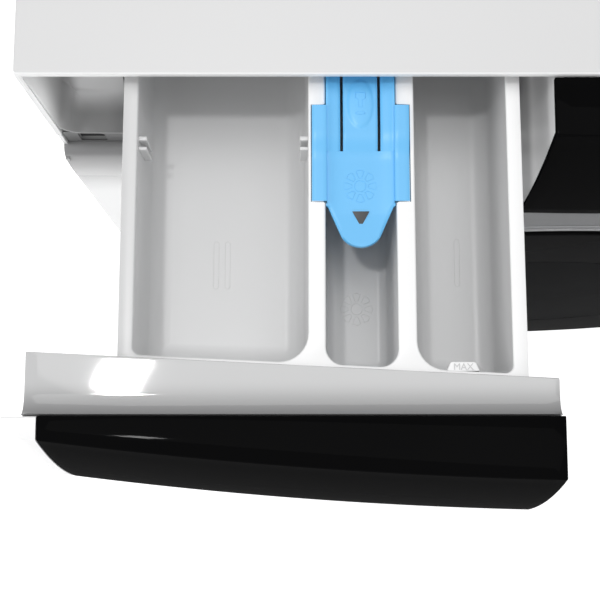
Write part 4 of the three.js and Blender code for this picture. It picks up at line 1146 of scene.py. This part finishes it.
def drum():
    x0, x1, y0, y1, z0, z1 = extent("drum_shell")
    r = (x1 - x0) / 2
    bm = solid(turned, [(0, y1), (r - 3, y1), (r - 0.8, y1 - 0.8), (r, y1 - 3), (r, 84), (r - 1.2, 78),
            (r - 4.4, 73.6), (229, 70.9), (222, 70.5), (164, 70.5), (158, 70.8), (153, 72.4),
            (150.3, 74.4), (150.1, 76.2), (151.6, 76.4), (158, 73.2), (164, 72.6), (222, 72.6),
            (228, 73.1), (232.2, 75.6), (235, 79.4), (r - 2, 85), (r - 2, y1 - 4), (r - 4.4, y1 - 2),
            (200, y1 - 2), (180, y1 - 5), (90, y1 - 5), (70, y1 - 2), (0, y1 - 2)], count=120)
    piece("drum_cylinder", bm, DRUM_STEEL, "drum", "drum_shell", sharp=50)
    # The holes are not cut: dark discs on the shell paint the shade seen through them.
    dots = bmesh.new()
    radius = r - 2.05
    around = [2 * pi * m / 7 for m in range(7)]
    for row in range(15):
        y = 100 + 17.5 * row
        for k in range(78):
            a = 2 * pi * (k + 0.5 * (row % 2)) / 78
            from_lifter = abs((a + pi / 2 + pi / 3) % (2 * pi / 3) - pi / 3)
            if from_lifter < 0.16:
                continue
            hole = [(a + 1.9 * cos(b) / radius, y + 1.9 * sin(b)) for b in around]
            rings(dots, [[P(q * cos(c), d, DOOR_Z + q * sin(c)) for c, d in hole]
                         for q in (radius + 0.8, radius - 0.12)])
    piece("drum_perforations", dots, PRINT_AND_HOLE_SHADE, "drum")


def bend(obj, start, end, node):
    """Puts a piece in place of a CAD node; start and end, the places for its two ends, are not used."""
    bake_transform(obj)
    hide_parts(node)


def soft_object(name, bm, material, sharp=60):
    obj = plain_object(name, bm)
    obj.data.materials.append(material)
    obj.data.shade_smooth()
    obj.data.set_sharp_from_angle(angle=radians(sharp))
    return obj


def gasket():
    bm = bmesh.new()
    inner = smooth_line([(143.4, 3.4), (150, 4), (160, 4.2), (164, 6.6), (165.4, 12), (171, 18),
            (172.6, 24), (170.4, 30), (162, 33), (155.4, 36.4), (154.3, 44), (154.4, 59.4)], 3)
    outer = smooth_line([(159, 59.4), (159.2, 46), (160.6, 40.6), (168, 38), (175.6, 34.4), (177.2, 26),
            (175.8, 17.4), (170, 11.6), (169.3, 6), (169.2, -0.6), (167.6, -1.8), (150, -1.9),
            (144.4, -1.6), (143.1, 0.2)], 3)
    turned(bm, [(p.x, p.y) for p in inner + outer], count=96)
    bend(soft_object("door_bellows", bm, BELLOWS), P(0, 14, DOOR_Z), P(0, 44, DOOR_Z),
         "door_gasket")


def springs():
    for side, name in ((-1, "left"), (1, "right")):
        x0, x1, y0, y1, z0, z1 = extent("spring_" + name)
        x, y = (x0 + x1) / 2, (y0 + y1) / 2
        r = (x1 - x0) / 2 - 1.9
        steps = 9 * 18
        path = [P(x + r * cos(2 * pi * 9 * k / steps), y + r * sin(2 * pi * 9 * k / steps),
                  z0 + 2 + (z1 - z0 - 4) * k / steps) for k in range(steps + 1)]
        bm = bmesh.new()
        tube(bm, path, 1.9, 8)
        bend(soft_object("suspension_spring_" + name, bm, STEEL), P(x, y, z1 - 6), P(x, y, z0 + 6),
             "spring_" + name)


# ---- the back and the feet

def screw(bm, x, y, z, r=4.2, out=1):
    turned(bm, [(0, y - out * 0.3), (r, y - out * 0.3), (r, y + out * 0.5), (r * 0.86, y + out * 1.3),
            (r * 0.5, y + out * 1.9), (r * 0.3, y + out * 2.0), (r * 0.22, y + out * 1.2),
            (0, y + out * 1.2)], x, z, 16)


def back():
    x0, x1, y0, y1, z0, z1 = extent("rear_panel")
    screws = bmesh.new()
    for x in (x0 + 9, x1 - 9):
        for z in many(z0 + 14, z1 - 10, 5):
            screw(screws, x, y1, z)
    for x in (-160, 0, 160):
        screw(screws, x, y1, z1 - 9)
        screw(screws, x, y1, z0 + 10)
    for k in range(6):
        a = 2 * pi * k / 6 + pi / 6
        screw(screws, 158.5 * cos(a), y1 + 2.4, DOOR_Z + 158.5 * sin(a), 3.6)
    piece("rear_screws", screws, STEEL, "cabinet")
    ribs = bmesh.new()
    for z, half in ((650, 190), (700, 190), (210, 170), (160, 170)):
        slab(ribs, "y", rectangle(-half, half, z - 7, z + 7, 6.9, 6), y1 - 0.5, y1 + 1.6, 0, 1.4, 4)
    piece("rear_panel_beads", ribs, ZINC, "cabinet")
    cover = bmesh.new()
    seat = y1 + 0.4
    turned(cover, [(0, 536.5), (60, 536.5), (66, 535.6), (84, 535.6), (90, 536.5), (137, 536.5),
            (141, 535.8), (151, seat + 2.6), (154, seat + 2), (164, seat + 2), (165, seat + 1.4),
            (165, seat), (151, seat), (139, 534.5), (0, 534.5)], count=96)
    piece("rear_cover_pressing", cover, ZINC, "cabinet", "rear_cover", sharp=50)
    labels = solid(slab, "y", rectangle(150, 230, 745, 790, 2, 4), y1, y1 + 0.3, 0, 0.1)
    piece("rear_label", labels, WHITE, "cabinet")
    thread = bmesh.new()
    inlet = extent("inlet_valve")
    for k in range(7):
        y = inlet[3] - 2.6 - 2.0 * k
        turned(thread, [(12.8, y - 0.7), (13.9, y), (12.8, y + 0.7), (12.4, y)], -225, 795, 40)
    piece("inlet_thread", thread, WHITE, "cabinet")


def feet():
    for name in ("front_left", "front_right", "rear_left", "rear_right"):
        x0, x1, y0, y1, z0, z1 = extent("foot_" + name)
        x, y = (x0 + x1) / 2, (y0 + y1) / 2
        pad = bmesh.new()
        turned(pad, [(0, 0), (20, 0), (21.4, 0.6), (22, 2), (22, 7), (21, 8.4), (17, 9.6), (12.4, 10.6),
                (0, 10.8)], x, count=48, axis="z", y=y)
        piece("foot_pad_" + name, pad, RUBBER, "foot_" + name, "foot_" + name)
        stem = bmesh.new()
        profile = [(0, 10.4), (5.0, 10.6)]
        for k in range(16):
            profile += [(5.0, 19 + 2.5 * k), (5.6, 20.2 + 2.5 * k)]
        profile += [(4.6, z1 - 0.4), (0, z1)]
        turned(stem, profile, x, count=24, axis="z", y=y)
        nut = [Vector((x + 11.6 * cos(pi / 3 * k), y + 11.6 * sin(pi / 3 * k))) for k in range(6)]
        slab(stem, "z", nut, 10.7, 17.6, 0.5, 0.5)
        piece("foot_thread_" + name, stem, STEEL, "foot_" + name)


# ---- stage

def camera():
    """Almost straight above the pulled-out drawer, tipped 8.9 degrees towards the back."""
    data = bpy.data.cameras.new("view")
    data.sensor_width = 36.0
    data.lens = CAMERA_LENS
    data.clip_start = 0.01
    data.clip_end = 50
    obj = bpy.data.objects.new("view", data)
    obj.location = P(*CAMERA)
    obj.rotation_euler = (radians(CAMERA_TILT), 0, 0)
    bpy.context.scene.collection.objects.link(obj)
    bpy.context.scene.camera = obj


def panel_light(name, place, target, width, height, power):
    data = bpy.data.lights.new(name, "AREA")
    data.shape = "RECTANGLE"
    data.size = width
    data.size_y = height
    data.energy = power
    obj = bpy.data.objects.new(name, data)
    obj.location = place
    obj.rotation_euler = (Vector(target) - Vector(place)).to_track_quat("-Z", "Y").to_euler()
    bpy.context.scene.collection.objects.link(obj)


def studio():
    bm = bmesh.new()
    bmesh.ops.create_grid(bm, x_segments=2, y_segments=2, size=12)
    mesh = bpy.data.meshes.new("floor")
    bm.to_mesh(mesh)
    bm.free()
    floor = bpy.data.objects.new("floor", mesh)
    mesh.materials.append(moulded("pale_floor", (0.92, 0.92, 0.92), 0.8, 40.0, 0.0002, 0.1, 0.004, 0.02,
                                  Emission_Color=(1.0, 1.0, 1.0, 1.0), Emission_Strength=0.5))
    bpy.context.scene.collection.objects.link(floor)
    world = bpy.data.worlds.new("studio")
    world.use_nodes = True
    world.node_tree.nodes["Background"].inputs["Color"].default_value = (1.0, 1.0, 1.0, 1.0)
    world.node_tree.nodes["Background"].inputs["Strength"].default_value = 0.38
    bpy.context.scene.world = world
    aim = P(-150, -60, 800)
    panel_light("top_panel_light", (0.1, 0.3, 3.0), aim, 2.4, 1.6, 21)
    panel_light("front_panel_light", (-0.2, -3.0, 1.9), aim, 2.2, 0.8, 15)
    panel_light("left_panel_light", (-2.1, -0.6, 1.9), aim, 1.6, 0.8, 14)
    panel_light("right_panel_light", (2.4, -0.9, 1.0), aim, 1.6, 0.8, 8)
    glint = Vector((*LAMP_GLINT, SHELF_TOP))
    away = glint - Vector(CAMERA)
    card = glint + Vector((away.x, away.y, -away.z)) * 3.13
    panel_light("window_card", P(*card), P(*glint), 0.092, 0.07, 4.0)
    bpy.context.scene.view_settings.view_transform = "Standard"


camera()
studio()
dress_cad()
drawer_tray()
guide_ribs()
tray_marks()
max_tab()
siphon_cap()
release_tab()
drawer_front()
worktop()
console()
niche()
bar_face()
front_shoulder()
door()
knob()
console_marks()
lower_front()
drum()
gasket()
springs()
back()
feet()
